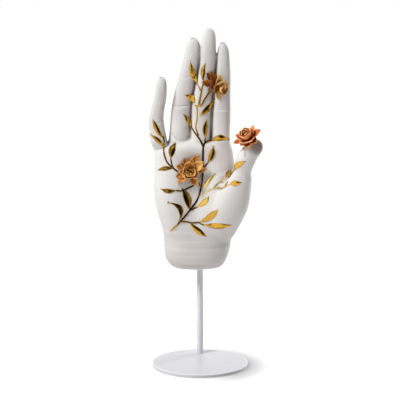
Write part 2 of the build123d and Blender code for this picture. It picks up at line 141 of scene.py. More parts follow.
# Fingers and thumb for their nails: point on the axis at the tip, way the bone runs, way the nail faces,
# breadth of the nail
NAILS = {
    "pinky": ((-39.4, 3.0, 303.8), (0.09, -0.17, 1.0), (0.0, 1.0, 0.17), 8.6),
    "ring": ((-6.2, 7.6, 343.2), (0.17, -0.11, 1.0), (0.0, 1.0, 0.11), 11.0),
    "middle": ((10.0, 2.6, 353.0), (0.06, -0.12, 1.0), (0.0, 1.0, 0.12), 11.4),
    "index": ((23.6, 4.0, 339.0), (0.0, -0.11, 1.0), (0.0, 1.0, 0.11), 10.2),
    "thumb": ((57.6, -14.9, 236.7), (0.61, -0.28, 0.74), (0.35, 0.90, -0.10), 11.2),
}

# Lines pressed into the palm's side: points across and up in millimetres, depth, width, swell below
PALM_LINES = {
    "index_root": (((12.5, 240.6), (21.5, 239.0), (31.5, 240.2)), 0.7, 1.4, 0.5),
    "index_joint": (((12.8, 271.0), (22.3, 270.0), (32.0, 271.0)), 0.5, 1.2, 0.6),
    "index_tip_joint": (((16.0, 300.0), (23.0, 299.4), (30.5, 300.2)), 0.3, 1.3, 0.2),
    "middle_joint": (((-8.5, 274.5), (1.5, 273.2), (12.0, 274.5)), 0.4, 1.3, 0.3),
    "middle_tip_joint": (((-3.0, 313.6), (6.0, 312.8), (14.5, 313.8)), 0.3, 1.3, 0.2),
    "ring_joint": (((-30.5, 273.8), (-20.0, 273.0), (-9.0, 275.2)), 0.7, 1.3, 0.7),
    "ring_root": (((-29.5, 246.5), (-26.8, 240.4), (-20.0, 237.6), (-14.0, 240.2), (-11.0, 246.0)), 1.1, 1.3, 0.0),
    "ring_tip_joint": (((-22.5, 304.0), (-14.0, 303.4), (-4.0, 305.6)), 0.3, 1.3, 0.2),
    "pinky_joint": (((-55.0, 256.5), (-46.0, 256.0), (-36.5, 257.6)), 0.35, 1.3, 0.2),
    "pinky_tip_joint": (((-51.5, 278.6), (-44.0, 278.2), (-36.0, 279.4)), 0.25, 1.2, 0.2),
    "life_line": (((34.0, 208.5), (18.0, 203.0), (7.0, 190.5), (2.0, 176.0)), 0.45, 2.2, 0.0),
    "head_line": (((30.0, 210.0), (12.0, 204.5), (-8.0, 197.5), (-27.0, 184.0)), 0.40, 1.8, 0.0),
    "heart_line": (((-44.0, 205.5), (-24.0, 211.0), (-6.0, 216.5), (6.0, 226.0)), 0.45, 1.8, 0.0),
    "wrist_line": (((-36.0, 144.6), (-18.0, 141.6), (4.0, 140.4), (22.0, 138.6), (31.0, 136.4)), 0.35, 3.2, 0.3),
    "wrist_second_line": (((-33.0, 133.8), (-12.0, 131.2), (10.0, 130.6), (27.0, 129.0)), 0.15, 3.0, 0.1),
}
BACK_LINES = {
    "middle_knuckle": (((-5.0, 275.0), (3.0, 276.2), (11.0, 275.0)), 0.45, 1.1, 0.0),
    "middle_knuckle_low": (((-4.0, 271.4), (3.0, 272.0), (10.0, 271.4)), 0.35, 1.0, 0.0),
    "ring_knuckle": (((-27.0, 266.4), (-19.0, 268.0), (-11.0, 267.8)), 0.45, 1.1, 0.0),
    "ring_knuckle_low": (((-26.0, 262.8), (-19.0, 264.0), (-12.0, 263.8)), 0.35, 1.0, 0.0),
    "index_knuckle": (((14.5, 264.5), (22.0, 265.6), (29.5, 264.5)), 0.45, 1.1, 0.0),
    "index_knuckle_low": (((15.5, 261.0), (22.0, 261.8), (28.5, 261.0)), 0.35, 1.0, 0.0),
    "pinky_knuckle": (((-51.5, 257.0), (-46.0, 258.4), (-39.5, 258.4)), 0.4, 1.0, 0.0),
    "middle_nail_joint": (((0.0, 317.0), (6.0, 318.0), (12.0, 317.4)), 0.35, 1.0, 0.0),
    "ring_nail_joint": (((-20.0, 308.0), (-13.6, 309.4), (-7.0, 309.6)), 0.35, 1.0, 0.0),
    "index_nail_joint": (((17.5, 304.0), (23.0, 304.8), (28.5, 304.0)), 0.35, 1.0, 0.0),
    "pinky_nail_joint": (((-47.5, 281.0), (-42.6, 282.0), (-37.5, 281.6)), 0.3, 1.0, 0.0),
    "wrist_back_line": (((-30.0, 138.0), (-5.0, 136.0), (24.0, 137.4)), 0.5, 2.4, 0.0),
}
# Gaps where two fingers touch: points across and up in millimetres, from the palm's side and the back alike
GAPS = {
    "ring_middle": ((-10.6, 241.0), (-10.0, 256.0), (-9.0, 272.0), (-6.5, 288.0), (-3.0, 304.0), (-0.2, 320.0),
                    (0.8, 336.0)),
    "middle_index": ((11.8, 240.0), (12.3, 262.0), (13.7, 280.0), (14.6, 296.0), (16.0, 312.0), (17.2, 326.0)),
}
# Swellings: across, up, reach across, reach up, height, all in millimetres
PALM_SWELLS = (
    (-20.5, 252.0, 8.0, 12.0, 1.7),
    (-34.0, 226.0, 13.0, 7.0, 0.9),
    (-16.0, 230.0, 11.0, 6.0, 0.8),
    (6.0, 231.0, 10.0, 6.0, 0.6),
    (24.0, 228.0, 11.0, 8.0, 0.6),
    (-32.0, 168.0, 13.0, 26.0, 0.8),
)
BACK_SWELLS = (
    (-41.0, 236.0, 8.0, 8.0, 1.4),
    (-21.0, 241.0, 9.0, 9.0, 1.7),
    (1.0, 244.0, 9.0, 9.0, 1.8),
    (22.0, 240.0, 9.0, 9.0, 1.6),
    (2.0, 274.0, 8.5, 6.5, 0.8),
    (-19.5, 266.0, 8.5, 6.5, 0.8),
    (22.0, 263.5, 8.5, 6.5, 0.7),
    (-46.0, 257.5, 7.0, 5.5, 0.6),
    (0.5, 214.0, 4.8, 22.0, 0.7),
    (-18.5, 212.0, 4.6, 20.0, 0.6),
    (18.5, 210.0, 4.8, 20.0, 0.5),
    (-35.0, 208.0, 4.4, 16.0, 0.4),
    (-26.0, 146.0, 8.0, 9.0, 1.4),
)

# Gilt stems: breadths of the stem's at each end, then points across and up
STEMS = {
    "stem_main": (
        ((1.1, 1.2), ((-0.315, 0.325), (-0.207, 0.411), (-0.109, 0.497), (-0.029, 0.577), (0.013, 0.681),
                      (0.027, 0.774), (0.030, 0.89), (0.031, 1.003))),
        ((1.1, 0.8), ((0.031, 0.99), (0.001, 1.044), (-0.05, 1.095), (-0.088, 1.14))),
        ((1.1, 0.8), ((0.03, 0.985), (0.052, 1.022), (0.09, 1.034), (0.125, 1.039))),
        ((0.7, 0.7), ((0.058, 1.02), (0.05, 1.036), (0.055, 1.06))),
        ((0.8, 0.7), ((0.029, 0.80), (0.047, 0.834), (0.083, 0.87))),
        ((0.8, 0.7), ((-0.12, 0.49), (-0.08, 0.503), (-0.027, 0.524))),
        ((0.9, 0.6), ((0.015, 0.675), (-0.002, 0.69), (-0.009, 0.712))),
    ),
    "stem_fingers": (
        ((0.8, 1.3), ((-0.014, 1.077), (-0.035, 1.112), (-0.046, 1.152), (-0.035, 1.207), (-0.034, 1.26),
                      (-0.038, 1.308))),
        ((1.0, 1.0), ((-0.055, 1.309), (-0.02, 1.311), (0.02, 1.317))),
        ((1.2, 0.8), ((-0.014, 1.31), (0.001, 1.376), (0.012, 1.423), (0.031, 1.486))),
        ((0.8, 0.7), ((0.011, 1.415), (-0.011, 1.455), (-0.035, 1.49))),
        ((1.2, 0.8), ((0.012, 1.31), (0.048, 1.363), (0.078, 1.399), (0.094, 1.45))),
        ((0.7, 0.6), ((0.05, 1.36), (0.087, 1.398), (0.124, 1.441))),
    ),
    "stem_pinky": (
        ((1.2, 0.8), ((-0.23, 0.80), (-0.286, 0.833), (-0.338, 0.871), (-0.368, 0.928), (-0.375, 0.985),
                      (-0.37, 1.03), (-0.38, 1.075))),
        ((0.9, 0.7), ((-0.28, 0.826), (-0.292, 0.86), (-0.303, 0.905))),
    ),
    "stem_thumb": (
        ((0.9, 0.55), ((0.018, 0.605), (0.081, 0.653), (0.139, 0.674), (0.231, 0.691), (0.31, 0.722))),
        ((0.7, 0.6), ((0.135, 0.671), (0.165, 0.703), (0.212, 0.732), (0.268, 0.768))),
        ((0.7, 0.5), ((0.326, 0.822), (0.335, 0.83), (0.346, 0.838))),
        ((0.6, 0.5), ((0.24, 0.692), (0.262, 0.715), (0.285, 0.742))),
    ),
    "twig_palm": (
        ((0.8, 1.0), ((-0.25, 0.659), (-0.207, 0.654), (-0.161, 0.661), (-0.109, 0.674), (-0.05, 0.692))),
    ),
    "twig_wrist": (
        ((1.0, 0.8), ((-0.205, 0.411), (-0.145, 0.411), (-0.097, 0.402), (-0.05, 0.401), (0.0, 0.405))),
        ((0.8, 0.6), ((-0.01, 0.405), (0.012, 0.392), (0.045, 0.386))),
    ),
}

# Gilt leaves: root across and up, tip across and up, breadth and bow of the length, where it is broadest,
# bank in degrees towards the little finger
LEAVES = {
    "leaf_pinky_long": (-0.376, 1.052, -0.486, 1.212, 0.22, 0.06, 0.55, 9),
    "leaf_pinky_outer": (-0.378, 0.985, -0.516, 1.086, 0.24, -0.08, 0.50, 4),
    "leaf_pinky_inner": (-0.302, 0.900, -0.247, 1.022, 0.40, 0.08, 0.50, -5),
    "leaf_palm_edge": (-0.284, 0.824, -0.442, 0.802, 0.31, -0.09, 0.45, 7),
    "leaf_palm_high": (0.080, 0.866, 0.139, 0.998, 0.34, -0.05, 0.55, 12),
    "leaf_palm_side": (-0.248, 0.659, -0.409, 0.668, 0.31, 0.08, 0.50, -6),
    "leaf_palm_middle": (-0.109, 0.503, -0.193, 0.682, 0.31, -0.07, 0.45, 0),
    "leaf_palm_sickle": (-0.221, 0.406, -0.336, 0.568, 0.25, -0.34, 0.50, -4),
    "leaf_palm_short": (-0.035, 0.520, 0.096, 0.617, 0.29, -0.10, 0.55, 0),
    "leaf_wrist_upper": (-0.012, 0.404, 0.192, 0.524, 0.24, -0.08, 0.60, 5),
    "leaf_wrist_long": (0.034, 0.387, 0.331, 0.392, 0.22, -0.04, 0.55, 0),
    "leaf_wrist_lower": (-0.105, 0.400, 0.070, 0.291, 0.29, -0.05, 0.55, 7),
    "leaf_thumb_small": (0.264, 0.765, 0.332, 0.832, 0.38, 0.05, 0.50, 0),
    "leaf_thumb_tip": (0.342, 0.835, 0.463, 0.912, 0.36, 0.08, 0.45, 0),
    "leaf_thumb_side": (0.306, 0.721, 0.429, 0.740, 0.46, 0.04, 0.40, 6),
    "leaf_palm_slender": (0.026, 0.652, 0.156, 0.787, 0.19, 0.05, 0.50, 0),
    "leaf_ring_root": (-0.086, 1.130, -0.173, 1.245, 0.27, -0.06, 0.50, 0),
    "leaf_index_root": (0.120, 1.034, 0.300, 1.046, 0.38, 0.16, 0.50, 8),
    "leaf_middle_root": (0.055, 1.053, 0.072, 1.206, 0.27, 0.05, 0.50, -4),
    "leaf_middle_joint": (-0.005, 1.233, 0.148, 1.353, 0.28, -0.05, 0.45, 0),
    "leaf_ring_joint": (-0.050, 1.330, -0.161, 1.392, 0.52, -0.10, 0.40, 0),
    "leaf_ring_high": (-0.033, 1.482, -0.099, 1.655, 0.27, 0.05, 0.40, 0),
    "leaf_middle_high": (0.031, 1.500, 0.056, 1.640, 0.25, 0.08, 0.50, 5),
}

# Share of painted dark reflection on a stem's top or inside a leaf's outline; below nothing, share of painted pale
# highlight
GILT_REFLECTION_TONES = {"stem_main": 0.96, "stem_pinky": 0.85, "twig_palm": 0.96, "twig_wrist": 0.7, "stem_fingers": 0.3,
             "leaf_thumb_small": 0.7, "leaf_palm_side": 0.9, "leaf_palm_middle": 0.9, "leaf_palm_sickle": 0.9,
             "leaf_pinky_inner": 0.8, "leaf_pinky_outer": 0.5, "leaf_pinky_long": 0.5, "leaf_palm_edge": 0.8,
             "leaf_palm_high": 0.55, "leaf_middle_root": 0.5, "leaf_middle_joint": 0.6, "leaf_ring_root": 0.5,
             "leaf_index_root": 0.4, "leaf_wrist_lower": 0.3, "leaf_ring_high": 0.35, "leaf_middle_high": 0.35,
             "leaf_wrist_upper": 0.25, "leaf_wrist_long": 0.2, "leaf_ring_joint": 0.3, "leaf_thumb_tip": 0.1,
             "stem_thumb": -0.7, "leaf_palm_slender": -0.9, "leaf_palm_short": -0.2}
# Along a stem's first band: painted reflection tone at its root, the tone further on, share of the band between them
FIRST_BAND = {"stem_main": (0.0, 0.96, 0.14), "stem_fingers": (0.8, -0.9, 0.6)}
# Share of its own lie that a stem's top keeps; the rest faces straight out of the drawing
STEM_LIE = {"stem_thumb": 1.0, "stem_fingers": 0.6, "stem_main": 0.25, "stem_pinky": 0.5, "twig_palm": 0.4,
            "twig_wrist": 0.5}

# Middle of the shade painted on the thumb's tip below its flower, and how far the painted shade is full and reaches
THUMB_SHADE = (61 * MM, -24 * MM, 238 * MM)
THUMB_SHADE_REACH = (7 * MM, 15 * MM)

# Flowers: across, up and depth inside the hand, way the flower faces, finish
FLOWERS = {
    "palm_flower": ((-0.100, 0.800, 0.28), (-0.10, -0.96, 0.18), "amber_petal"),
    "finger_flower": ((0.145, 1.470, 0.28), (0.44, -0.87, -0.20), "amber_petal"),
    "thumb_flower": ((0.520, 1.055, -0.26), (-0.38, -0.52, 0.77), "rose_petal"),
}
# Rings of a flower: root and level in millimetres, hollow across, fold along the middle, sharpness of the tip
RINGS = {
    "amber_petal": {
        "outer_petals": (1.4, 0.2, 1.00, 0.65, 1.5),
        "middle_petals": (1.3, 0.9, 0.90, 0.45, 1.6),
        "inner_petals": (1.2, 1.4, 0.80, 0.0, 2.4),
        "bud": (0.6, 1.9, 0.66, 0.0, 3.0),
    },
    "rose_petal": {
        "outer_petals": (1.4, 0.2, 1.00, 0.25, 2.0),
        "middle_petals": (1.3, 0.9, 0.95, 0.15, 2.2),
        "inner_petals": (1.2, 1.6, 0.80, 0.0, 3.2),
        "bud": (0.6, 2.8, 0.92, 0.0, 3.6),
    },
}
# Where a ring's middle lies beside the flower's axis and above its level, in millimetres, and its lean to the right
ASIDE = {
    "palm_flower_inner_petals": (1.0, -0.4, 0.0, 0),
    "palm_flower_bud": (1.0, -0.6, 1.2, 0),
    "finger_flower_middle_petals": (-1.4, -0.6, 5.2, 4),
    "finger_flower_inner_petals": (3.4, -1.7, 5.8, 16),
    "finger_flower_bud": (3.4, -1.7, 6.2, 16),
    "thumb_flower_inner_petals": (-0.8, 0.4, 2.6, 0),
    "thumb_flower_bud": (-1.2, 0.6, 4.0, 0),
}
# Petals one by one: turn, length and breadth of the flower's radius, rise at the root and at the tip, tone (partly
# the petal's own colour, partly painted light and shade)
PETALS = {
    "palm_flower": {
        "outer_petals": ((57, 1.17, 0.62, 8, 34, 0.0), (80, 0.90, 0.36, 12, 34, 0.3), (108, 0.86, 0.50, 8, 30, -0.3),
                         (164, 0.87, 0.50, 6, 26, -0.3), (203, 0.92, 0.54, 4, 24, -0.3),
                         (229, 1.03, 0.56, 2, 22, 0.1), (296, 1.00, 0.56, 4, 24, 0.1), (8, 1.14, 0.46, 8, 26, 0.8)),
        "middle_petals": ((37, 1.17, 0.78, 18, 44, 0.6), (138, 0.80, 0.46, 16, 40, -0.3),
                          (184, 0.70, 0.48, 18, 44, -0.2), (258, 0.60, 0.54, 16, 54, -0.2),
                          (314, 0.76, 0.54, 20, 50, 0.4), (350, 0.70, 0.50, 22, 54, -0.4)),
        "inner_petals": ((224, 0.82, 0.98, 16, 98, 0.4), (97, 0.92, 0.92, 26, 84, 0.1),
                         (168, 0.72, 0.80, 24, 92, 0.3), (350, 0.62, 0.74, 34, 92, 0.4)),
        "bud": ((232, 0.60, 0.72, 18, 104, 0.5), (236, 0.44, 0.54, 18, 100, 0.5), (240, 0.28, 0.38, 24, 96, 0.4),
                (60, 0.28, 0.40, 30, 96, 0.2)),
    },
    "finger_flower": {
        "outer_petals": ((128, 1.22, 0.44, 0, 14, -0.9), (110, 1.14, 0.52, 2, 12, -0.6),
                         (161, 1.16, 0.62, 2, 18, -0.45), (95, 0.74, 0.36, 6, 12, -1.0),
                         (190, 0.44, 0.50, 10, 40, -0.6)),
        "middle_petals": ((86, 0.98, 0.60, 14, 18, 0.9), (50, 0.74, 1.00, 34, 40, 1.0),
                          (150, 0.36, 0.60, 26, 60, -0.6), (205, 0.40, 0.60, 20, 60, -0.5),
                          (335, 0.46, 0.70, 34, 50, 0.3), (19, 0.80, 0.56, 36, 28, -0.1),
                          (273, 0.84, 0.56, 14, 14, 0.9), (2, 0.52, 0.50, 46, 30, -0.3),
                          (296, 0.52, 0.50, 30, 40, 0.2)),
        "inner_petals": ((60, 0.46, 0.60, 24, 96, 0.6), (132, 0.48, 0.64, 24, 98, 0.8),
                         (204, 0.50, 0.66, 20, 98, 0.5), (276, 0.50, 0.64, 16, 96, 0.1),
                         (345, 0.50, 0.64, 20, 96, 0.1)),
        "bud": ((20, 0.28, 0.38, 30, 104, 0.3), (140, 0.28, 0.38, 30, 104, 0.1), (262, 0.28, 0.38, 30, 104, 0.0)),
    },
    "thumb_flower": {
        "outer_petals": ((7, 1.04, 0.84, 26, 38, -0.4), (61, 1.06, 0.66, 18, 40, 0.5), (104, 0.84, 0.66, 14, 46, 0.0),
                         (150, 1.06, 0.90, 16, 44, -0.1), (174, 1.10, 0.60, 6, 22, -0.6),
                         (203, 0.72, 0.62, 2, 18, 0.6), (246, 0.62, 0.84, 0, 16, 0.6), (312, 0.62, 0.76, 4, 24, 0.6)),
        "middle_petals": ((38, 0.84, 0.62, 36, 66, 0.0), (84, 0.82, 0.70, 30, 70, 0.0),
                          (130, 0.86, 0.80, 28, 72, 0.1), (172, 0.92, 0.84, 22, 64, 0.3),
                          (230, 0.88, 0.98, 16, 64, 0.4), (296, 0.84, 0.86, 20, 64, 0.3)),
        "inner_petals": ((12, 0.78, 0.80, 34, 102, 0.0), (86, 0.80, 0.84, 32, 104, 0.1),
                         (160, 0.80, 0.86, 28, 104, 0.3), (236, 0.80, 0.92, 22, 100, 0.4),
                         (306, 0.76, 0.84, 28, 100, 0.1)),
        "bud": ((60, 0.62, 0.62, 8, 136, 0.1), (180, 0.62, 0.66, 8, 138, 0.3), (300, 0.60, 0.62, 8, 136, 0.2),
                (120, 0.40, 0.42, 24, 128, 0.6), (250, 0.32, 0.36, 30, 130, 0.6)),
    },
}


# Settings

def number_setting(name, text, value, **more):
    """A number among the settings."""
    return FloatProperty(name=name, description=text, default=value, **more)


def length_setting(name, text, value):
    """A length among the settings."""
    return number_setting(name, text, value, unit="LENGTH")


def colour_setting(name, text, *value):
    """A colour among the settings."""
    return FloatVectorProperty(name=name, description=text, default=value, subtype="COLOR")


class HandLook(bpy.types.PropertyGroup):
    """Sizes and colours of the porcelain hand."""
    cell: length_setting("Cell", "Edge of the hand's mesh cells", 0.72 * MM)
    line_share: number_setting("Lines", "Depth of the pressed lines, of the drawn depth", 1.0)
    nail_length: number_setting("Nail", "Length of a nail, of its breadth", 1.25)
    nail_thickness: length_setting("Nail thickness", "Thickness of a nail", 0.5 * MM)
    bisque: colour_setting("Bisque", "Colour of the bare porcelain", 0.83, 0.81, 0.79)
    # Colour of the denser patches and specks, and of the shade painted towards the fingertips
    bisque_patches_and_tip_shade: colour_setting("Bisque shade", "Colour of its denser patches", 0.75, 0.725, 0.71)
    # Colour of the wrist's lower part: painted shade, laid in streaky brush bands
    bisque_wrist_bands_and_shade: colour_setting("Bisque brushed", "Colour of the brush bands at the wrist", 0.66, 0.61, 0.58)
    # Colour of the shade painted into the gaps between the fingers and under the thumb's flower
    bisque_painted_shade: colour_setting("Bisque in gaps", "Colour of the porcelain in narrow gaps", 0.34, 0.29, 0.26)


class GiltLook(bpy.types.PropertyGroup):
    """Sizes and colours of the gilt sprays."""
    stem_breadth: length_setting("Stem", "Breadth of a stem", 1.8 * MM)
    stem_height: length_setting("Stem height", "Height of a stem over the hand", 0.8 * MM)
    leaf_height: length_setting("Leaf height", "Height of a leaf's middle over the hand", 0.85 * MM)
    leaf_rib: length_setting("Rib", "Height of a leaf's midrib over its blade", 0.22 * MM)
    gold: colour_setting("Gold", "Colour of the fired gold", 0.88, 0.51, 0.08)
    gold_worn: colour_setting("Thin gold", "Colour of thinly laid gold", 0.60, 0.29, 0.035)
    # The next two colours are painted light: a pale highlight and the dark reflection of the room
    gold_highlight: colour_setting("Pale gold", "Colour of gold laid over white", 1.0, 0.80, 0.36)
    gold_dark_reflection: colour_setting("Dark ground", "Colour of the ground below the gold", 0.045, 0.018, 0.006)


class FlowerLook(bpy.types.PropertyGroup):
    """Sizes and colours of the blossoms."""
    palm_radius: length_setting("Palm blossom", "Radius of the palm's blossom", 16 * MM)
    finger_radius: length_setting("Finger blossom", "Radius of the fingers' blossom", 14.5 * MM)
    thumb_radius: length_setting("Thumb blossom", "Radius of the thumb's blossom", 14.5 * MM)
    petal_thickness: length_setting("Petal", "Thickness of a petal", 0.70 * MM)
    amber: colour_setting("Amber", "Colour of the amber petals", 0.63, 0.215, 0.022)
    # Rim colours also paint the rims' highlights and the light on paler petals; root colours also paint shade
    amber_rim_and_light: colour_setting("Amber rim", "Colour of their rims", 0.92, 0.58, 0.21)
    amber_root_and_shade: colour_setting("Amber root", "Colour of their roots", 0.20, 0.033, 0.004)
    rose: colour_setting("Rose", "Colour of the rose petals", 0.88, 0.25, 0.06)
    # Rim colours also paint the rims' highlights and the light on paler petals; root colours also paint shade
    rose_rim_and_light: colour_setting("Rose rim", "Colour of their rims", 0.99, 0.60, 0.28)
    rose_root_and_shade: colour_setting("Rose root", "Colour of their roots", 0.32, 0.014, 0.003)


class StandLook(bpy.types.PropertyGroup):
    """Sizes and colours of the stand."""
    edge: length_setting("Edge", "Rounding of the foot's edges", 0.7 * MM)
    rod_edge: length_setting("Rod edge", "Rounding of the rod's ends", 0.2 * MM)
    facets: IntProperty(name="Facets", description="Facets round the foot", default=192)
    # Foot and rod share one coat; the rod's is painted paler and the foot's darker for how the light falls
    paint: colour_setting("Paint", "Colour of the foot's powder coat", 0.69, 0.685, 0.73)
    # Colour of the highlight painted on the foot's rounded rim
    paint_rim_highlight: colour_setting("Paint rim", "Colour of the coat on the foot's rounded rim", 0.90, 0.90, 0.92)
    rod_paint_with_painted_light: colour_setting("Rod paint", "Colour of the rod's coat", 0.84, 0.84, 0.87)


class StudioLook(bpy.types.PropertyGroup):
    """Camera, lamps and surroundings."""
    camera_height: length_setting("Camera height", "Height of the camera", 0.5662)
    camera_distance: length_setting("Camera distance", "Distance of the camera from the hand", 2.0)
    camera_tilt: number_setting("Tilt", "How far down the camera looks", math.radians(11.013), subtype="ANGLE")
    film: number_setting("Film", "Breadth of the camera's film in millimetres", 36.0)
    lens: number_setting("Lens", "Focal length in millimetres on that film", 177.45)
    key_power: number_setting("Key", "Power of the key lamp in watts", 43.5)
    rim_power: number_setting("Rim", "Power of the lamp behind the right side in watts", 18.0)
    fill: colour_setting("Fill", "Colour of the surroundings' light", 1.0, 0.955, 0.935)
    front_level: number_setting("Front level", "Light of the room behind the camera", 0.11)
    side_level: number_setting("Side level", "Light of the white surroundings", 0.41)
    top_share: number_setting("Top share", "Light from above, of the surroundings' light", 0.45)
    right_share: number_setting("Right share", "Light from the right, of the surroundings' light", 1.12)
    dark_way: FloatVectorProperty(name="Dark room", description="Way to the dark part of the room that gold mirrors",
                                  default=(0.31, -0.95, 0.09))
    dark_reach: number_setting("Dark reach", "Half the breadth of that dark part", math.radians(41), subtype="ANGLE")
    dark_level: number_setting("Dark level", "Light of that dark part", 0.03)
    paper_size: length_setting("Paper", "Half the breadth of the paper on the floor", 3.0)
    paper_white: number_setting("Paper white", "Whiteness of the paper, as the part sees it", 0.82)
    paper_gain: number_setting("Paper gain", "Brightness of the lit paper, as the camera sees it", 0.20)
    paper_glow: number_setting("Paper glow", "Light added to the paper near the foot, as the camera sees it", 0.90)
    glow_start: length_setting("Glow start", "Way from the foot where the paper starts to glow more", 0.12)
    glow_end: length_setting("Glow end", "Way from the foot where the paper glows fully", 0.60)
    shade_reach: length_setting("Shade reach", "How far the shade on the foot's far side reaches", 30 * MM)
    shade_depth: number_setting("Shade depth", "Share of the paper's light that this shade takes", 0.38)
    shadow_reach: length_setting("Shadow reach", "How far the contact shadow reaches", 40 * MM)


LOOKS = {"hand": HandLook, "gilt": GiltLook, "flower": FlowerLook, "stand": StandLook, "studio": StudioLook}


def looks():
    """The scene's own sizes and colours."""
    return bpy.context.scene.blossom_hand


# Materials

def node(tree, kind, inputs=(), **settings):
    """A shader node with its settings and inputs, which are values or other nodes' outputs."""
    made = tree.nodes.new(kind)
    for name, value in settings.items():
        setattr(made, name, value)
    for name, value in dict(inputs).items():
        if isinstance(value, bpy.types.NodeSocket):
            tree.links.new(value, made.inputs[name])
        else:
            made.inputs[name].default_value = value
    return made


def rgba(colour):
    """A colour with its alpha."""
    return (*colour, 1.0)


def bare_material(name):
    """A new material and its empty tree."""
    made = bpy.data.materials.new(name)
    made.use_nodes = True
    made.node_tree.nodes.clear()
    return made, made.node_tree


def surface(name, roughness, metallic=0.0, **sockets):
    """A new material, its tree, its shader and the object's own coordinates."""
    made, tree = bare_material(name)
    shader = node(tree, "ShaderNodeBsdfPrincipled", {"Roughness": roughness, "Metallic": metallic, **sockets})
    node(tree, "ShaderNodeOutputMaterial", {"Surface": shader.outputs["BSDF"]})
    place = node(tree, "ShaderNodeTexCoord")
    return made, tree, shader, place


def noise(tree, place, scale, detail=3.0, roughness=0.55, stretch=None):
    """Noise over the object, in cycles per metre, stretched along some axes if asked."""
    source = place.outputs["Object"]
    if stretch:
        source = node(tree, "ShaderNodeMapping", {"Vector": source, "Scale": stretch}).outputs["Vector"]
    return node(tree, "ShaderNodeTexNoise", {"Vector": source, "Scale": scale, "Detail": detail,
                                             "Roughness": roughness}).outputs["Fac"]


def ramp(tree, value, low, high, to_low=0.0, to_high=1.0):
    """The value carried smoothly from one range to another."""
    return node(tree, "ShaderNodeMapRange", {"Value": value, "From Min": low, "From Max": high,
                                             "To Min": to_low, "To Max": to_high},
                interpolation_type="SMOOTHSTEP").outputs["Result"]


def blend_colours(tree, share, first, second):
    """Two colours mixed by a share."""
    return node(tree, "ShaderNodeMix", {0: share, 6: first, 7: second}, data_type="RGBA").outputs[2]


def calc(tree, operation, *values, clamp=False):
    """The outcome of an operation on values or other nodes' outputs."""
    return node(tree, "ShaderNodeMath", enumerate(values), operation=operation, use_clamp=clamp).outputs[0]


def across_uv(tree, place):
    """The share along a leaf or petal, and how far a place lies from its midrib."""
    flat = node(tree, "ShaderNodeSeparateXYZ", {"Vector": place.outputs["UV"]}).outputs
    return flat, calc(tree, "ABSOLUTE", calc(tree, "SUBTRACT", flat["Y"], 0.5))


def openness(tree, reach):
    """How open a place is within a reach, from 0 in a tight gap to 1."""
    return node(tree, "ShaderNodeAmbientOcclusion", {"Distance": reach}, samples=8).outputs["AO"]


def waves(tree, phase, count):
    """A sine wave that runs so many times from phase 0 to 1."""
    return calc(tree, "SINE", calc(tree, "MULTIPLY", phase, 2 * math.pi * count))


def dress(tree, shader, colour, roughness):
    """Puts a colour and a roughness on the shader."""
    tree.links.new(colour, shader.inputs["Base Color"])
    tree.links.new(roughness, shader.inputs["Roughness"])


def relief_of(tree, shader, height, depth, strength=1.0):
    """Bump on the shader from a height, as deep as the depth given."""
    bump = node(tree, "ShaderNodeBump", {"Height": height, "Distance": depth, "Strength": strength})
    tree.links.new(bump.outputs["Normal"], shader.inputs["Normal"])


def bisque_material(look):
    """Matte unglazed porcelain with denser patches and fine pits, and painted shade towards the fingertips, at the
    wrist's foot in soft brush bands, in the gaps between the fingers and under the thumb's flower.
    """
    made, tree, shader, place = surface("bisque_porcelain", 0.62, **{"Specular IOR Level": 0.35})
    height = node(tree, "ShaderNodeSeparateXYZ", {"Vector": place.outputs["Object"]}).outputs["Z"]
    patches = ramp(tree, noise(tree, place, 38, 4), 0.35, 0.70)
    # Painted shade: the porcelain darkens towards the fingertips, on top of its denser patches
    patches_and_tip_shade = calc(tree, "MULTIPLY_ADD", patches, 0.35, ramp(tree, height, *TIP_SHADE_HEIGHTS, 0.0, 0.85))
    colour = blend_colours(tree, patches_and_tip_shade, rgba(look.bisque), rgba(look.bisque_patches_and_tip_shade))
    # Painted shade at the wrist, darker towards its foot, in streaky brush bands
    bands = ramp(tree, noise(tree, place, 60, 3, stretch=WRIST_STROKES), 0.34, 0.70, 0.35, 0.95)
    bands = calc(tree, "MULTIPLY", bands, ramp(tree, height, *WRIST_FADE))
    colour = blend_colours(tree, bands, colour, rgba(look.bisque_wrist_bands_and_shade))
    specks = ramp(tree, noise(tree, place, 1400, 2), 0.72, 0.78, 0.0, 0.25)
    colour = blend_colours(tree, specks, colour, rgba(look.bisque_patches_and_tip_shade))
    # Painted shade under the thumb's flower and in the narrow gaps between the fingers
    under = node(tree, "ShaderNodeVectorMath", {0: place.outputs["Object"], 1: THUMB_SHADE}, operation="DISTANCE")
    under = ramp(tree, under.outputs["Value"], *THUMB_SHADE_REACH, 1.0, 0.0)
    shut = calc(tree, "MAXIMUM", ramp(tree, openness(tree, GAP_REACH), 0.80, 0.25, 0.0, 0.75), under)
    colour = blend_colours(tree, shut, colour, rgba(look.bisque_painted_shade))
    dress(tree, shader, colour, ramp(tree, noise(tree, place, 220, 3), 0.3, 0.7, 0.54, 0.70))
    relief_of(tree, shader, noise(tree, place, 1100, 4), 0.05 * MM, 0.5)
    return made


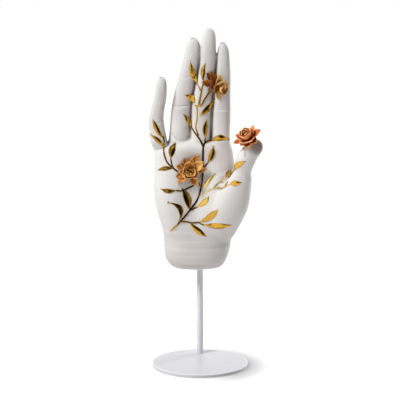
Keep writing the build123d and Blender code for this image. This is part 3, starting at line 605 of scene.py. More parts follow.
def gilt_material(look):
    """Fired gold over raised slip: thin worn gold, hammered by the brush, with painted dark reflections and painted
    pale highlights.
    """
    made, tree, shader, place = surface("fired_gold", 0.24, metallic=1.0)
    thin = ramp(tree, noise(tree, place, 260, 4), 0.50, 0.78)
    colour = blend_colours(tree, thin, rgba(look.gold), rgba(look.gold_worn))
    tone = node(tree, "ShaderNodeAttribute", attribute_name="tone").outputs["Fac"]
    # Painted dark reflection of the room, patchy as if brushed
    patchy = ramp(tree, noise(tree, place, 420, 3, stretch=GOLD_STROKES), 0.35, 0.65, 0.7, 1.3)
    ground = calc(tree, "MULTIPLY", tone, patchy, clamp=True)
    colour = blend_colours(tree, ground, colour, rgba(look.gold_dark_reflection))
    # Painted pale highlight where the tone is below nothing
    painted_highlight = calc(tree, "MULTIPLY", tone, -1.0, clamp=True)
    colour = blend_colours(tree, painted_highlight, colour, rgba(look.gold_highlight))
    dress(tree, shader, colour, ramp(tree, noise(tree, place, 700, 3), 0.3, 0.75, 0.12, 0.25))
    flat, apart = across_uv(tree, place)
    veins = waves(tree, calc(tree, "MULTIPLY_ADD", apart, -0.5, flat["X"]), LEAF_VEINS)
    height = calc(tree, "MULTIPLY_ADD", veins, 0.22, noise(tree, place, 900, 3))
    relief_of(tree, shader, height, 0.05 * MM, 0.8)
    return made


def petal_material(name, body, rim, root):
    """Hand-coloured bisque petals: deep at the root, paler at the rim, partly as painted highlight, each petal a
    little different, made paler or darker by a tone that partly paints light and shade, with painted shade in the
    creases.
    """
    made, tree, shader, place = surface(name, 0.8, **{"Specular IOR Level": 0.15})
    flat, apart = across_uv(tree, place)
    # Paler rims: partly the petal's own colour, partly painted highlight
    rims = calc(tree, "MAXIMUM", ramp(tree, apart, 0.41, 0.50), ramp(tree, flat["X"], 0.88, 1.0))
    each = node(tree, "ShaderNodeNewGeometry").outputs["Random Per Island"]
    mottle = noise(tree, place, 420, 4)
    wash = calc(tree, "MULTIPLY", mottle, noise(tree, place, 260, 3, stretch=PETAL_STROKES))
    wash = ramp(tree, wash, 0.18, 0.40, 0.0, 0.22)
    tone = node(tree, "ShaderNodeAttribute", attribute_name="tone").outputs["Fac"]
    # Each petal's tone paints it paler for the light on it, with a little random wash
    paler = calc(tree, "ADD", calc(tree, "MULTIPLY_ADD", each, 0.08, wash),
                 calc(tree, "MULTIPLY", tone, 0.95, clamp=True), clamp=True)
    share = calc(tree, "MAXIMUM", calc(tree, "MULTIPLY", rims, 0.85), paler)
    colour = blend_colours(tree, share, rgba(body), rgba(rim))
    # Deep colour at the root, and painted shade on petals whose tone is below nothing
    deep = calc(tree, "MAXIMUM", ramp(tree, flat["X"], 0.45, 0.06, 0.0, 0.92),
                calc(tree, "MULTIPLY", tone, -0.9, clamp=True))
    # Painted shade in the creases between petals
    painted_crease_shade = ramp(tree, openness(tree, CREASE_REACH), 0.60, 0.16, 0.0, 0.92)
    colour = blend_colours(tree, calc(tree, "MAXIMUM", deep, painted_crease_shade), colour, rgba(root))
    dress(tree, shader, colour, ramp(tree, mottle, 0.3, 0.7, 0.66, 0.86))
    height = calc(tree, "MULTIPLY_ADD", waves(tree, flat["Y"], PETAL_RAYS), 0.25, mottle)
    relief_of(tree, shader, height, 0.12 * MM, 0.6)
    return made


def paint_material(look, name, paint, rim, top):
    """Satin powder coat, with a highlight painted on the rim of the radius given where it rounds off below the top.
    """
    made, tree, shader, place = surface(name, 0.30, **{"Specular IOR Level": 0.5})
    tint = ramp(tree, noise(tree, place, 30, 2), 0.3, 0.7, 0.0, 0.3)
    paler = tuple(min(1.0, c * 1.03) for c in paint)
    spot = node(tree, "ShaderNodeSeparateXYZ", {"Vector": place.outputs["Object"]}).outputs
    out = node(tree, "ShaderNodeCombineXYZ", {"X": spot["X"], "Y": spot["Y"]}).outputs["Vector"]
    out = node(tree, "ShaderNodeVectorMath", {0: out}, operation="LENGTH").outputs["Value"]
    # Painted highlight on the rounded rim below the top
    painted_highlight = calc(tree, "MULTIPLY", ramp(tree, out, rim - 1.5 * MM, rim - 0.7 * MM),
                ramp(tree, spot["Z"], top - 0.9 * MM, top - 0.5 * MM))
    colour = blend_colours(tree, tint, rgba(paint), rgba(paler))
    colour = blend_colours(tree, painted_highlight, colour, rgba(look.paint_rim_highlight))
    dress(tree, shader, colour, ramp(tree, noise(tree, place, 40, 2), 0.3, 0.7, 0.30, 0.35))
    relief_of(tree, shader, noise(tree, place, 1500, 2), 0.0015 * MM, 0.4)
    return made


def plain_material(name, colour, roughness, metallic, scale, depth):
    """A working finish for what the stand and the wrist hold inside: mottled colour and fine grain."""
    made, tree, shader, place = surface(name, roughness, metallic=metallic)
    darker = tuple(c * 0.78 for c in colour)
    colour = blend_colours(tree, ramp(tree, noise(tree, place, scale, 4), 0.35, 0.70), rgba(colour), rgba(darker))
    grain = noise(tree, place, scale * 6, 3)
    dress(tree, shader, colour, ramp(tree, grain, 0.3, 0.7, roughness * 0.8, min(1.0, roughness * 1.2)))
    relief_of(tree, shader, grain, depth, 0.6)
    return made


def paper_material(look):
    """White paper that glows for the camera, with a painted contact shadow and a painted soft shade on the foot's
    right.
    """
    made, tree = bare_material("white_paper")
    seen = node(tree, "ShaderNodeLightPath").outputs["Is Camera Ray"]
    to_light = node(tree, "ShaderNodeCombineXYZ", dict(zip("XYZ", WAY_TO_LIGHT))).outputs[0]
    # Painted contact shadow, from how open the paper is towards the light
    shut = node(tree, "ShaderNodeAmbientOcclusion", {"Distance": look.shadow_reach, "Normal": to_light},
                samples=16).outputs["AO"]
    open_share = ramp(tree, shut, 0.30, 0.95, 0.78, 1.0)
    place = node(tree, "ShaderNodeNewGeometry").outputs["Position"]
    away = node(tree, "ShaderNodeVectorMath", {0: place}, operation="LENGTH").outputs["Value"]
    # Painted soft shade on the foot's right side
    to_right = node(tree, "ShaderNodeSeparateXYZ", {"Vector": place}).outputs["X"]
    to_right = ramp(tree, to_right, 0.0, 0.9 * FOOT_RADIUS, 0.0, look.shade_depth)
    shade = ramp(tree, away, FOOT_RADIUS, FOOT_RADIUS + look.shade_reach)
    shade = calc(tree, "MULTIPLY", calc(tree, "SUBTRACT", 1.0, shade), to_right)
    open_share = calc(tree, "MULTIPLY", open_share, calc(tree, "SUBTRACT", 1.0, shade))
    glow = ramp(tree, away, look.glow_start, look.glow_end, look.paper_glow, 1.0)
    glow = calc(tree, "MULTIPLY", calc(tree, "MULTIPLY", seen, glow), open_share)
    own = node(tree, "ShaderNodeEmission", {"Color": WHITE, "Strength": glow})
    gain = node(tree, "ShaderNodeMapRange", {"Value": seen, "To Min": look.paper_white, "To Max": look.paper_gain})
    gain = calc(tree, "MULTIPLY", gain.outputs["Result"], open_share)
    plain = node(tree, "ShaderNodeBsdfDiffuse", {"Color": gain})
    both = node(tree, "ShaderNodeAddShader", {0: own.outputs[0], 1: plain.outputs[0]})
    node(tree, "ShaderNodeOutputMaterial", {"Surface": both.outputs[0]})
    return made


# Surroundings

def surroundings(look):
    """A white room, darker behind the camera and above, with a dark part that only the gold mirrors."""
    made = bpy.data.worlds.new("surroundings")
    made.use_nodes = True
    tree = made.node_tree
    tree.nodes.clear()
    sky = node(tree, "ShaderNodeTexCoord").outputs["Generated"]
    way = node(tree, "ShaderNodeSeparateXYZ", {"Vector": sky}).outputs
    level = ramp(tree, way["Y"], -0.65, 0.25, look.front_level, look.side_level)
    level = calc(tree, "MULTIPLY", level, ramp(tree, way["Z"], 0.1, 0.9, 1.0, look.top_share))
    level = calc(tree, "MULTIPLY", level, ramp(tree, way["X"], -0.3, 0.8, 1.0, look.right_share))
    around = node(tree, "ShaderNodeBackground", {"Color": rgba(look.fill), "Strength": level})
    near = node(tree, "ShaderNodeVectorMath", {0: sky, 1: Vector(look.dark_way).normalized()},
                operation="DOT_PRODUCT").outputs["Value"]
    dark = ramp(tree, near, math.cos(look.dark_reach * 1.12), math.cos(look.dark_reach * 0.88), 1.0, look.dark_level)
    mirrored = node(tree, "ShaderNodeBackground", {"Color": WHITE, "Strength": dark})
    white = node(tree, "ShaderNodeBackground", {"Color": WHITE, "Strength": 1.0})
    seen = node(tree, "ShaderNodeLightPath").outputs
    lit = node(tree, "ShaderNodeMixShader",
               {0: seen["Is Glossy Ray"], 1: around.outputs[0], 2: mirrored.outputs[0]})
    mix = node(tree, "ShaderNodeMixShader", {0: seen["Is Camera Ray"], 1: lit.outputs[0], 2: white.outputs[0]})
    node(tree, "ShaderNodeOutputWorld", {"Surface": mix.outputs[0]})
    return made


# Shapes

def mesh_of(name, source):
    """A bmesh made a mesh."""
    mesh = bpy.data.meshes.new(name)
    source.to_mesh(mesh)
    source.free()
    return mesh


def placed(name, data):
    """A new object of the scene."""
    made = bpy.data.objects.new(name, data)
    bpy.context.scene.collection.objects.link(made)
    return made


def finish_piece(name, source, material, slot, *replaced):
    """A bmesh made a piece of the object, riding on its body in place of CAD nodes."""
    mesh = mesh_of(name, source)
    mesh.polygons.foreach_set("use_smooth", [True] * len(mesh.polygons))
    piece = placed(name, mesh)
    mesh.materials.append(material)
    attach(piece, ROOT_BODY)
    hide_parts(*replaced)
    return piece


def thicken(piece, thickness, offset, levels):
    """A wall for a thin sheet, and one smoothing pass."""
    wall = piece.modifiers.new("wall", "SOLIDIFY")
    wall.thickness = thickness
    wall.offset = offset
    if levels:
        smooth = piece.modifiers.new("smooth", "SUBSURF")
        smooth.levels = levels
        smooth.render_levels = levels


def sheet_of(source, grid, uvs=True):
    """A new sheet's vertices with their shares along it, from 0 to 1, and across it, from -1 to 1."""
    made = bmesh.ops.create_grid(source, x_segments=grid[0], y_segments=grid[1], size=1, calc_uvs=uvs)["verts"]
    return [(v, (v.co.x + 1) / 2, v.co.y) for v in made]


def blank(uvs=True):
    """An empty bmesh that holds a tone for each vertex, and places for its texture if asked."""
    made = bmesh.new()
    if uvs:
        made.loops.layers.uv.new("UVMap")
    return made, made.verts.layers.float.new("tone")


def round_edges(source, reach, segments):
    """Rounds off a turned form's sharp edges."""
    rims = [e for e in source.edges if e.calc_face_angle() > SHARP]
    bmesh.ops.bevel(source, geom=rims, offset=reach, segments=segments, profile=0.5, affect="EDGES", material=-1)


def smooth_line(points, steps):
    """Points on a smooth curve through the points given, so many steps for each stretch."""
    points = [Vector(p) for p in points]
    ends = [points[0] * 2 - points[1]] + points + [points[-1] * 2 - points[-2]]
    line = []
    for a, b, c, d in zip(ends, ends[1:], ends[2:], ends[3:]):
        for k in range(steps):
            t = k / steps
            line.append(0.5 * ((2 * b) + (c - a) * t + (2 * a - 5 * b + 4 * c - d) * t ** 2
                               + (3 * b - a - 3 * c + d) * t ** 3))
    line.append(points[-1])
    return line


class Skin:
    """The hand's surface, as the gilder's brush meets it from the palm's side."""
    # A gap is bridged from the skin within these reaches, looked for so many ways, and sinks by this slope
    REACHES = (1.5 * MM, 3 * MM, 4.5 * MM)
    WAYS = 8
    SLOPE = 0.75

    def __init__(self, mesh):
        source = bmesh.new()
        source.from_mesh(mesh)
        self.tree = BVHTree.FromBMesh(source)
        source.free()

    def front(self, x, z):
        """Depth of the hand behind a point of the drawing plane, or None."""
        hit = self.tree.ray_cast(Vector((x, -0.2, z)), Vector((0, 1, 0)))
        return None if hit[0] is None else hit[0].y

    def over(self, x, z):
        """Point of the surface there, which bridges the narrow gaps between the fingers."""
        found = [self.front(x, z)]
        for reach in self.REACHES:
            for k in range(self.WAYS):
                turn = 2 * math.pi * k / self.WAYS
                depth = self.front(x + reach * math.cos(turn), z + reach * math.sin(turn))
                found.append(None if depth is None else depth + reach * self.SLOPE)
        found = [depth for depth in found if depth is not None]
        if not found:
            raise RuntimeError(f"nothing of the hand lies behind {x:.4f}, {z:.4f}")
        return Vector((x, min(found), z))


def drawn(across, up):
    """A point of the drawing plane in metres."""
    return Vector((across * PALM_BREADTH, HAND_LIFT + up * PALM_HEIGHT))


def line_fall(points, line):
    """Each point's distance from a drawn line, faded at its ends, and whether it lies below it."""
    line = [np.array(p) * MM for p in line]
    far = np.full(len(points), np.inf)
    below = np.zeros(len(points), bool)
    along = np.zeros(len(points))
    total = sum(np.linalg.norm(b - a) for a, b in zip(line, line[1:]))
    done = 0.0
    for a, b in zip(line, line[1:]):
        reach = b - a
        length = np.linalg.norm(reach)
        t = np.clip(((points - a) @ reach) / length ** 2, 0, 1)
        foot = a + t[:, None] * reach
        distance = np.linalg.norm(points - foot, axis=1)
        nearer = distance < far
        far = np.where(nearer, distance, far)
        below = np.where(nearer, points[:, 1] < foot[:, 1], below)
        along = np.where(nearer, (done + t * length) / total, along)
        done += length
    fade = np.clip(np.minimum(along, 1 - along) * LINE_ENDS, 0, 1)
    return far, below, fade


def press_details(mesh, look):
    """Presses the lines of the palm and the knuckles into the hand and raises its swellings."""
    count = len(mesh.vertices)
    places, normals = np.zeros(count * 3), np.zeros(count * 3)
    mesh.vertices.foreach_get("co", places)
    mesh.vertex_normals.foreach_get("vector", normals)
    places, normals = places.reshape(-1, 3), normals.reshape(-1, 3)
    flat = places[:, [0, 2]]
    push = np.zeros(count)
    for side, lines, swells in ((-1, PALM_LINES, PALM_SWELLS), (1, BACK_LINES, BACK_SWELLS)):
        facing = np.clip(side * normals[:, 1] * LINE_FACING, 0, 1)
        for line, depth, width, swell in lines.values():
            far, below, fade = line_fall(flat, smooth_path_2d(line))
            groove = -depth * np.exp(-(far / (width * MM)) ** 2)
            lip = swell * np.exp(-(far / (SWELL_SPREAD * width * MM)) ** 2) * below
            push += facing * (groove * fade + lip * np.sqrt(fade)) * look.line_share * MM
        for across, up, broad, tall, height in swells:
            fall = ((flat[:, 0] / MM - across) / broad) ** 2 + ((flat[:, 1] / MM - up) / tall) ** 2
            push += facing * height * np.exp(-fall) * MM
    places += normals * push[:, None]
    for line in GAPS.values():
        far, _, fade = line_fall(flat, smooth_path_2d(line))
        furrow = FURROW_DEPTH * fade * np.exp(-(far / FURROW_WIDTH) ** 2)
        places[:, 1] -= furrow * np.clip(3 * normals[:, 1], -1, 1)
    mesh.vertices.foreach_set("co", places.ravel())
    mesh.update()


def smooth_path_2d(points):
    """A drawn line of millimetres made smooth."""
    return [tuple(p) for p in smooth_line([Vector(p) for p in points], 4)]


def outer_form():
    """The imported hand's outer surface, with its bore closed and its hollow left out."""
    source = bmesh.new()
    source.from_mesh(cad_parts["hand_shell"].data)
    bmesh.ops.remove_doubles(source, verts=source.verts, dist=SAME_PLACE)
    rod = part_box("stand_rod")
    axis = (rod[0] + rod[1]) / 2
    bore = [face for face in source.faces
            if all(math.hypot(v.co.x - axis.x, v.co.y - axis.y) < BORE_REACH for v in face.verts)
            and face.calc_center_median().z < HAND_LIFT + BORE_DEPTH
            and abs(face.normal.z) < 0.5]
    bmesh.ops.delete(source, geom=bore, context="FACES")
    start = max(source.verts, key=lambda v: v.co.z)
    kept, edge = {start}, [start]
    while edge:
        for link in edge.pop().link_edges:
            for v in link.verts:
                if v not in kept:
                    kept.add(v)
                    edge.append(v)
    bmesh.ops.delete(source, geom=[v for v in source.verts if v not in kept], context="VERTS")
    bmesh.ops.holes_fill(source, edges=[e for e in source.edges if e.is_boundary], sides=0)
    return source


def remeshed(source, cell):
    """The form as even cells."""
    temp = placed("hand_form", mesh_of("hand_form", source))
    grid = temp.modifiers.new("cells", "REMESH")
    grid.mode = "VOXEL"
    grid.voxel_size = cell
    shown = temp.evaluated_get(bpy.context.evaluated_depsgraph_get())
    made = bpy.data.meshes.new_from_object(shown)
    bpy.data.objects.remove(temp)
    return made


def soften(source, reach, passes):
    """Smooths the vertices that a test picks."""
    picked = [v for v in source.verts if reach(v.co)]
    for _ in range(passes):
        bmesh.ops.smooth_vert(source, verts=picked, factor=0.5, use_axis_x=True, use_axis_y=True, use_axis_z=True)


def near_thumb_root(place):
    """Whether a place lies where the thumb's mound runs into the palm."""
    low, high = THUMB_ROOT_HEIGHTS
    return THUMB_ROOT_LEFT < place.x and low < place.z < high and place.y < THUMB_ROOT_BACK


def near_finger_roots(place):
    """Whether a place lies where the fingers leave the palm."""
    low, high = FINGER_ROOT_HEIGHTS
    return low < place.z < high


def add_nail(source, skin, tip, bone, face, breadth, look):
    """One nail: a thin curved plate let into the back of a finger's end."""
    bone, face = Vector(bone).normalized(), Vector(face)
    face = (face - bone * face.dot(bone)).normalized()
    side = bone.cross(face)
    tip, breadth = Vector(tip) * MM, breadth * MM
    length = breadth * look.nail_length
    for v, t, s in sheet_of(source, NAIL_GRID, uvs=False):
        rounded = 1 - 0.10 * s ** 4 if t > NAIL_BED else 1.0
        edge = 0.80 + 0.20 * math.sin(min(1, t / 0.35) * math.pi / 2)
        turn = s * edge * math.radians(NAIL_WRAP)
        way = face * math.cos(turn) + side * math.sin(turn)
        held = min(t, NAIL_BED)
        base = tip - bone * length * (1 - held)
        hit = skin.tree.ray_cast(base + way * breadth * 0.85, -way)
        if hit[0] is None:
            raise RuntimeError("a nail misses its finger")
        sunk = NAIL_SINK * max(abs(s) ** 6, (1 - min(1, t / 0.12)) ** 2)
        radius = (hit[0] - base).dot(way) + NAIL_STAND - sunk
        v.co = base + way * radius + bone * length * (t * rounded - held)


class HAND_OT_cast(bpy.types.Operator):
    """Models the porcelain hand: its form, pressed lines, knuckles and nails"""
    bl_idname = "blossom_hand.cast"
    bl_label = "Porcelain hand"

    def execute(self, context):
        look = looks().hand
        mesh = remeshed(outer_form(), look.cell)
        source = bmesh.new()
        source.from_mesh(mesh)
        soften(source, lambda place: True, EVEN_PASSES)
        soften(source, near_thumb_root, THUMB_ROOT_PASSES)
        soften(source, near_finger_roots, FINGER_ROOT_PASSES)
        source.to_mesh(mesh)
        source.free()
        press_details(mesh, look)
        skin = Skin(mesh)
        nails = bmesh.new()
        for nail in NAILS.values():
            add_nail(nails, skin, *nail, look)
        bmesh.ops.recalc_face_normals(nails, faces=nails.faces)
        bmesh.ops.solidify(nails, geom=nails.faces, thickness=look.nail_thickness)
        bmesh.ops.recalc_face_normals(nails, faces=nails.faces)
        source = bmesh.new()
        source.from_mesh(mesh)
        source.from_mesh(mesh_of("nails", nails))
        finish_piece("porcelain_hand", source, bisque_material(look), "porcelain", "hand_shell")
        context.scene["hand_mesh"] = mesh.name
        return {"FINISHED"}


def hand_skin(context):
    """The modelled hand's surface."""
    name = context.scene.get("hand_mesh")
    if name is None:
        raise RuntimeError("the hand is modelled first")
    return Skin(bpy.data.meshes[name])


def gold():
    """The gilt material, made once."""
    return bpy.data.materials.get("fired_gold") or gilt_material(looks().gilt)


def lie_of(skin, place):
    """The hand's own facing at a place of the drawing, over a few millimetres."""
    step = 1.2 * MM
    across = skin.over(place.x + step, place.y).y - skin.over(place.x - step, place.y).y
    up = skin.over(place.x, place.y + step).y - skin.over(place.x, place.y - step).y
    return Vector((across, -2 * step, up)).normalized()


def lay_band(source, line, breadths, height, lie, painted_reflection_tones, skin):
    """A raised band with a flat top painted dark as a reflection and round gilt shoulders along a line of the
    drawing.
    """
    tones = source.verts.layers.float["tone"]
    ahead = Vector((0, -1, 0))
    tops = [skin.over(place.x, place.y) for place in line]
    tops = [(a + b * 2 + c) / 4 for a, b, c in zip(tops[:1] + tops, tops, tops[1:] + tops[-1:])]
    faces = [(lie_of(skin, place) * lie + ahead * (1 - lie)).normalized() for place in line]
    rings = []
    for k, (top, face, breadth) in enumerate(zip(tops, faces, breadths)):
        along = (tops[min(k + 1, len(tops) - 1)] - tops[max(k - 1, 0)]).normalized()
        side = along.cross(face).normalized()
        ring = []
        for angle in BAND_ANGLES:
            c, h = math.cos(math.radians(angle)), math.sin(math.radians(angle))
            out = math.copysign(abs(c) ** 0.75, c) * breadth / 2
            rise = math.copysign(abs(h) ** 0.55, h) * height
            v = source.verts.new(top + side * out + face * rise)
            # Painted dark reflection on the band's top, less of it on the shoulders
            v[tones] = painted_reflection_tones[k] if BAND_TOP[0] < angle < BAND_TOP[1] else painted_reflection_tones[k] * BAND_SHOULDER
            ring.append(v)
        rings.append(ring)
    for a, b in zip(rings, rings[1:]):
        for k in range(len(a)):
            nxt = (k + 1) % len(a)
            source.faces.new((a[k], a[nxt], b[nxt], b[k]))
    source.faces.new(rings[0][::-1])
    source.faces.new(rings[-1])


class HAND_OT_stems(bpy.types.Operator):
    """Lays the gilt stems over the palm and the fingers"""
    bl_idname = "blossom_hand.stems"
    bl_label = "Gilt stems"

    def execute(self, context):
        look = looks().gilt
        skin = hand_skin(context)
        rng = random.Random(7)
        for name, bands in STEMS.items():
            source, _ = blank(uvs=False)
            # Painted reflection tone of this stem, and its ramp along the first band
            dark = GILT_REFLECTION_TONES.get(name, 0)
            painted_tone_ramp = FIRST_BAND.get(name, (dark, dark, 1))
            for (first, last), points in bands:
                line = smooth_line([drawn(*p) for p in points], 8)
                ends = len(line) - 1
                breadths = [look.stem_breadth * (first + (last - first) * k / ends) * rng.uniform(0.92, 1.08)
                            * (0.45 if k in (0, ends) else 0.85 if k in (1, ends - 1) else 1)
                            for k in range(len(line))]
                root, beyond, reach = painted_tone_ramp
                painted_tone_ramp = (dark, dark, 1)
                painted_reflection_tones = [root + (beyond - root) * min(1, k / ends / reach) for k in range(len(line))]
                lay_band(source, line, breadths, look.stem_height, STEM_LIE[name], painted_reflection_tones, skin)
            bmesh.ops.recalc_face_normals(source, faces=source.faces)
            finish_piece("gilt_" + name, source, gold(), "gilt", name)
        return {"FINISHED"}


def leaf_breadth(t, broadest):
    """A leaf's breadth along it, of its greatest."""
    if t < broadest:
        return math.sin(t / broadest * math.pi / 2) ** 0.9
    return math.cos((t - broadest) / (1 - broadest) * math.pi / 2) ** 1.15


class HAND_OT_leaves(bpy.types.Operator):
    """Lays the gilt leaves over the palm and the fingers, each domed over its midrib"""
    bl_idname = "blossom_hand.leaves"
    bl_label = "Gilt leaves"

    def execute(self, context):
        look = looks().gilt
        skin = hand_skin(context)
        for name, (root_x, root_z, tip_x, tip_z, broad, bow, broadest, bank) in LEAVES.items():
            root, tip = drawn(root_x, root_z), drawn(tip_x, tip_z)
            along = tip - root
            side = Vector((-along.y, along.x))
            source, tones = blank()
            rises = {}
            for v, t, s in sheet_of(source, LEAF_GRID):
                half = broad / 2 * leaf_breadth(t, broadest)
                flat = root + along * t + side * (4 * bow * t * (1 - t) + half * s)
                dome = (1 - abs(s) ** 2.4) * min(1, 5 * t, 5 * (1 - t))
                rib = math.exp(-(s / 0.16) ** 2) * (1 - t) ** 0.5
                inside = (1 - min(1, abs(s) / 1.05) ** 4) * min(1, 9 * t, 9 * (1 - t))
                # Painted dark reflection inside the leaf's outline, less of it on the midrib
                v[tones] = GILT_REFLECTION_TONES.get(name, 0) * inside * (1 - 0.6 * rib)
                rises[v] = look.leaf_height * (0.28 + 0.72 * dome) + look.leaf_rib * rib
                tilt = (flat.x - root.x - along.x * t) * math.tan(math.radians(bank))
                rises[v] += max(-0.3 * MM, min(0.5 * MM, tilt))
                v.co = skin.over(flat.x, flat.y)
            bmesh.ops.recalc_face_normals(source, faces=source.faces)
            source.normal_update()
            flip = -1 if sum(face.normal.y for face in source.faces) > 0 else 1
            inner = [v for v in rises if not v.is_boundary]
            for _ in range(3):
                bmesh.ops.smooth_vert(source, verts=inner, factor=0.5, use_axis_y=True)
            source.normal_update()
            normals = {v: v.normal.copy() * flip for v in rises}
            for v, rise in rises.items():
                v.co += normals[v] * rise
            if flip < 0:
                bmesh.ops.reverse_faces(source, faces=source.faces)
            bmesh.ops.remove_doubles(source, verts=source.verts, dist=SAME_LEAF_PLACE)
            piece = finish_piece("gilt_" + name, source, gold(), "gilt", name)
            thicken(piece, look.leaf_height * 1.2, -1.0, 0)
        return {"FINISHED"}


def petal_curve(length, start, end):
    """Points of a petal's midrib as it rises from its root, whose slope turns from one angle to another."""
    line = [(0.0, 0.0)]
    for k in range(PETAL_STEPS):
        angle = start + (end - start) * (k + 0.5) / PETAL_STEPS
        line.append((line[-1][0] + math.cos(angle) * length / PETAL_STEPS,
                     line[-1][1] + math.sin(angle) * length / PETAL_STEPS))
    return line


def add_petal(source, tones, size, rises, tone, form, rng, place):
    """One petal: a thin sheet that rises from its root, hollowed or folded across, its rim softly waved."""
    length, breadth = size
    hollow, fold, sharp = form
    broadest = rng.uniform(0.56, 0.64)
    wave, phase = rng.uniform(0.03, 0.07) * breadth, rng.uniform(0, 2 * math.pi)
    lean = math.radians(rng.uniform(-6, 6))
    start, end = (math.radians(rise) for rise in rises)
    line = petal_curve(length, start, end)
    for v, t, s in sheet_of(source, PETAL_GRID):
        k = min(int(t * PETAL_STEPS), PETAL_STEPS - 1)
        part = t * PETAL_STEPS - k
        r = line[k][0] + (line[k + 1][0] - line[k][0]) * part
        z = line[k][1] + (line[k + 1][1] - line[k][1]) * part
        angle = start + (end - start) * t
        if t < broadest:
            half = 0.30 + 0.70 * math.sin(t / broadest * math.pi / 2)
        else:
            half = max(0.0, 1 - ((t - broadest) / (1 - broadest)) ** sharp)
        half = max(half, 0.02) * breadth / 2
        bend = breadth / 2 * hollow
        turn = s * half / bend
        across, lift = bend * math.sin(turn), bend * (1 - math.cos(turn))
        keel = 0.55 * half * (math.sqrt(s * s + 0.01) - 0.1)
        lift += fold * (keel - lift)
        lift += wave * t ** 2 * math.sin(5 * s + phase) - 0.06 * breadth * t ** 3 * abs(s)
        across += math.sin(lean) * r
        v.co = place @ Vector((r - math.sin(angle) * lift, across, z + math.cos(angle) * lift))
        v[tones] = tone


def flower_seat(skin, spot, way):
    """The place where a flower sits on the hand, and the turn from its own axes to the hand's."""
    inside = Vector((spot[0] * PALM_BREADTH, spot[2] * PALM_DEPTH, HAND_LIFT + spot[1] * PALM_HEIGHT))
    seat = skin.tree.ray_cast(inside - Vector((0, PALM_DEPTH, 0)), Vector((0, 1, 0)))[0]
    across = (Vector((1, 0, 0)) - way * way.x).normalized()
    return seat, Matrix((across, way.cross(across), way)).transposed().to_4x4()


def add_core(source, tones, radius, height, middle):
    """The cone below a ring of petals that sits above the root."""
    core = bmesh.ops.create_cone(source, cap_ends=True, segments=24, radius1=CORE_RADIUS, radius2=radius,
                                 depth=height, calc_uvs=True, matrix=middle)
    for v in core["verts"]:
        v[tones] = CORE_TONE


class HAND_OT_flowers(bpy.types.Operator):
    """Builds the three blossoms up from calyx, petals and bud"""
    bl_idname = "blossom_hand.flowers"
    bl_label = "Blossoms"

    def execute(self, context):
        look = looks().flower
        finishes = {
            "amber_petal": petal_material("amber_petal", look.amber, look.amber_rim_and_light, look.amber_root_and_shade),
            "rose_petal": petal_material("rose_petal", look.rose, look.rose_rim_and_light, look.rose_root_and_shade),
        }
        radii = {"palm_flower": look.palm_radius, "finger_flower": look.finger_radius,
                 "thumb_flower": look.thumb_radius}
        skin = hand_skin(context)
        for name, (spot, way, slot) in FLOWERS.items():
            radius = radii[name]
            rng = random.Random(len(name) * 11)
            way = Vector(way).normalized()
            seat, turn = flower_seat(skin, spot, way)
            seated = Matrix.Translation(seat + way * FLOWER_LIFT) @ turn
            for ring, (root, level, *form) in RINGS[slot].items():
                right, up, above, lean = ASIDE.get(f"{name}_{ring}", (0, 0, 0, 0))
                middle = (seated @ Matrix.Translation(Vector((right, up, level + above)) * MM)
                          @ Matrix.Rotation(math.radians(lean), 4, "Y"))
                source, tones = blank()
                for spin, long, broad, *rises, tone in PETALS[name][ring]:
                    place = (middle @ Matrix.Rotation(math.radians(spin), 4, "Z")
                             @ Matrix.Translation((root * MM, 0, 0)))
                    size = long * radius, broad * radius
                    add_petal(source, tones, size, rises, tone, form, rng, place)
                bmesh.ops.remove_doubles(source, verts=source.verts, dist=SAME_PETAL_PLACE)
                if above:
                    add_core(source, tones, (root + 0.4) * MM, above * MM,
                             middle @ Matrix.Translation((0, 0, -above / 2 * MM)))
                piece = finish_piece(f"{name}_{ring}_shown", source, finishes[slot], slot, f"{name}_{ring}")
                thicken(piece, look.petal_thickness, 0.0, 1)
            source, _ = blank()
            bmesh.ops.create_cone(source, cap_ends=True, segments=32, radius1=STALK[0], radius2=STALK[1],
                                  depth=STALK[2], matrix=Matrix.Translation(seat + way * STALK_LIFT) @ turn,
                                  calc_uvs=True)
            round_edges(source, STALK_EDGE, 3)
            finish_piece(f"{name}_calyx_shown", source, finishes[slot], slot, f"{name}_calyx")
        return {"FINISHED"}


def turned(source, radius, low, high, axis, facets):
    """A round bar or plate between two levels."""
    middle = Matrix.Translation((axis.x, axis.y, (low + high) / 2))
    bmesh.ops.create_cone(source, cap_ends=True, segments=facets, radius1=radius, radius2=radius,
                          depth=high - low, matrix=middle)


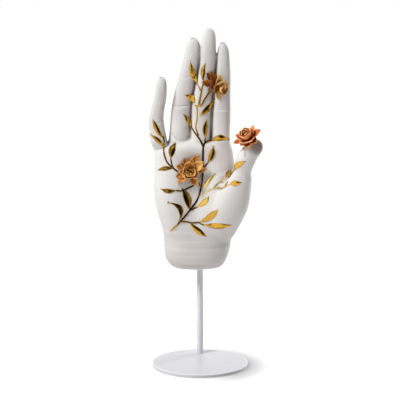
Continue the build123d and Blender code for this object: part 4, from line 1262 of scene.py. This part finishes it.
class HAND_OT_stand(bpy.types.Operator):
    """Turns the foot and the rod, and finishes the fittings that hold them"""
    bl_idname = "blossom_hand.stand"
    bl_label = "Stand"

    def execute(self, context):
        look = looks().stand
        # The rod's coat is painted paler than the foot's for how the light falls
        coats = {"foot_disc": (look.edge, look.paint), "stand_rod": (look.rod_edge, look.rod_paint_with_painted_light)}
        for name, (edge, colour) in coats.items():
            low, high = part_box(name)
            paint = paint_material(look, "powder_coat_" + name, colour, (high.x - low.x) / 2, high.z)
            source = bmesh.new()
            turned(source, (high.x - low.x) / 2, low.z, high.z, (low + high) / 2, look.facets)
            round_edges(source, edge, 4)
            finish_piece("painted_" + name, source, paint, "white_paint", name)
        # Nodes, colour, roughness, metallic, grain in cycles per metre and its depth
        fittings = {
            "cement": (("wrist_plug",), (0.52, 0.49, 0.44), 0.9, 0.0, 300, 0.3 * MM),
            "brass": (("wrist_insert",), (0.70, 0.48, 0.18), 0.32, 1.0, 500, 0.02 * MM),
            "steel": (("wrist_stud", "foot_screw"), (0.56, 0.57, 0.60), 0.34, 1.0, 500, 0.02 * MM),
            "nylon": (("wrist_washer",), (0.80, 0.80, 0.78), 0.45, 0.0, 300, 0.02 * MM),
            "felt": (("foot_pad",), (0.70, 0.69, 0.68), 0.95, 0.0, 900, 0.25 * MM),
        }
        for name, (nodes, *finish) in fittings.items():
            material = plain_material(name, *finish)
            for fitting in nodes:
                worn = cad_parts[fitting].data.materials
                worn.clear()
                worn.append(material)
        return {"FINISHED"}


class HAND_OT_stage(bpy.types.Operator):
    """Sets up the floor, the lamps, the surroundings and the camera"""
    bl_idname = "blossom_hand.stage"
    bl_label = "Stage"

    def execute(self, context):
        look = looks().studio
        scene = context.scene
        scene.view_settings.view_transform = "Standard"

        sheet = bmesh.new()
        bmesh.ops.create_grid(sheet, x_segments=1, y_segments=1, size=look.paper_size)
        floor = placed("floor", mesh_of("floor", sheet))
        floor.data.materials.append(paper_material(look))
        floor.visible_glossy = False
        scene.world = surroundings(look)

        powers = {"key": look.key_power, "rim": look.rim_power}
        for name, (place, size) in LAMPS.items():
            light = bpy.data.lights.new(name, "AREA")
            light.shape = "RECTANGLE"
            light.size, light.size_y = size
            light.energy = powers[name]
            lamp = placed(name, light)
            lamp.location = place
            lamp.rotation_euler = (Vector(LAMP_AIM) - lamp.location).to_track_quat("-Z", "Y").to_euler()
            lamp.visible_glossy = False

        camera = placed("camera", bpy.data.cameras.new("camera"))
        camera.data.lens = look.lens
        camera.data.sensor_width = look.film
        camera.location = (0.0, -look.camera_distance, look.camera_height)
        camera.rotation_euler = (math.radians(90) - look.camera_tilt, 0.0, 0.0)
        scene.camera = camera
        return {"FINISHED"}


class HAND_PT_panel(bpy.types.Panel):
    """Lists the steps of the model"""
    bl_idname = "HAND_PT_panel"
    bl_label = "Blossom hand"
    bl_space_type = "VIEW_3D"
    bl_region_type = "UI"
    bl_category = "Blossom hand"

    def draw(self, context):
        for step in STEPS:
            self.layout.operator(step.bl_idname)


class BlossomHand(bpy.types.PropertyGroup):
    """All sizes and colours of the model."""
    hand: PointerProperty(type=HandLook)
    gilt: PointerProperty(type=GiltLook)
    flower: PointerProperty(type=FlowerLook)
    stand: PointerProperty(type=StandLook)
    studio: PointerProperty(type=StudioLook)


STEPS = (HAND_OT_stage, HAND_OT_cast, HAND_OT_stems, HAND_OT_leaves, HAND_OT_flowers, HAND_OT_stand)
CLASSES = (*LOOKS.values(), BlossomHand, *STEPS, HAND_PT_panel)


def register():
    """Makes the classes known."""
    for each in CLASSES:
        bpy.utils.register_class(each)
    bpy.types.Scene.blossom_hand = PointerProperty(type=BlossomHand)


def unregister():
    """Takes the classes out again."""
    del bpy.types.Scene.blossom_hand
    for each in reversed(CLASSES):
        bpy.utils.unregister_class(each)


def main():
    """Builds everything."""
    register()
    bpy.ops.blossom_hand.stage()
    bpy.ops.blossom_hand.cast()
    bpy.ops.blossom_hand.stems()
    bpy.ops.blossom_hand.leaves()
    bpy.ops.blossom_hand.flowers()
    bpy.ops.blossom_hand.stand()


if __name__ == "__main__":
    main()
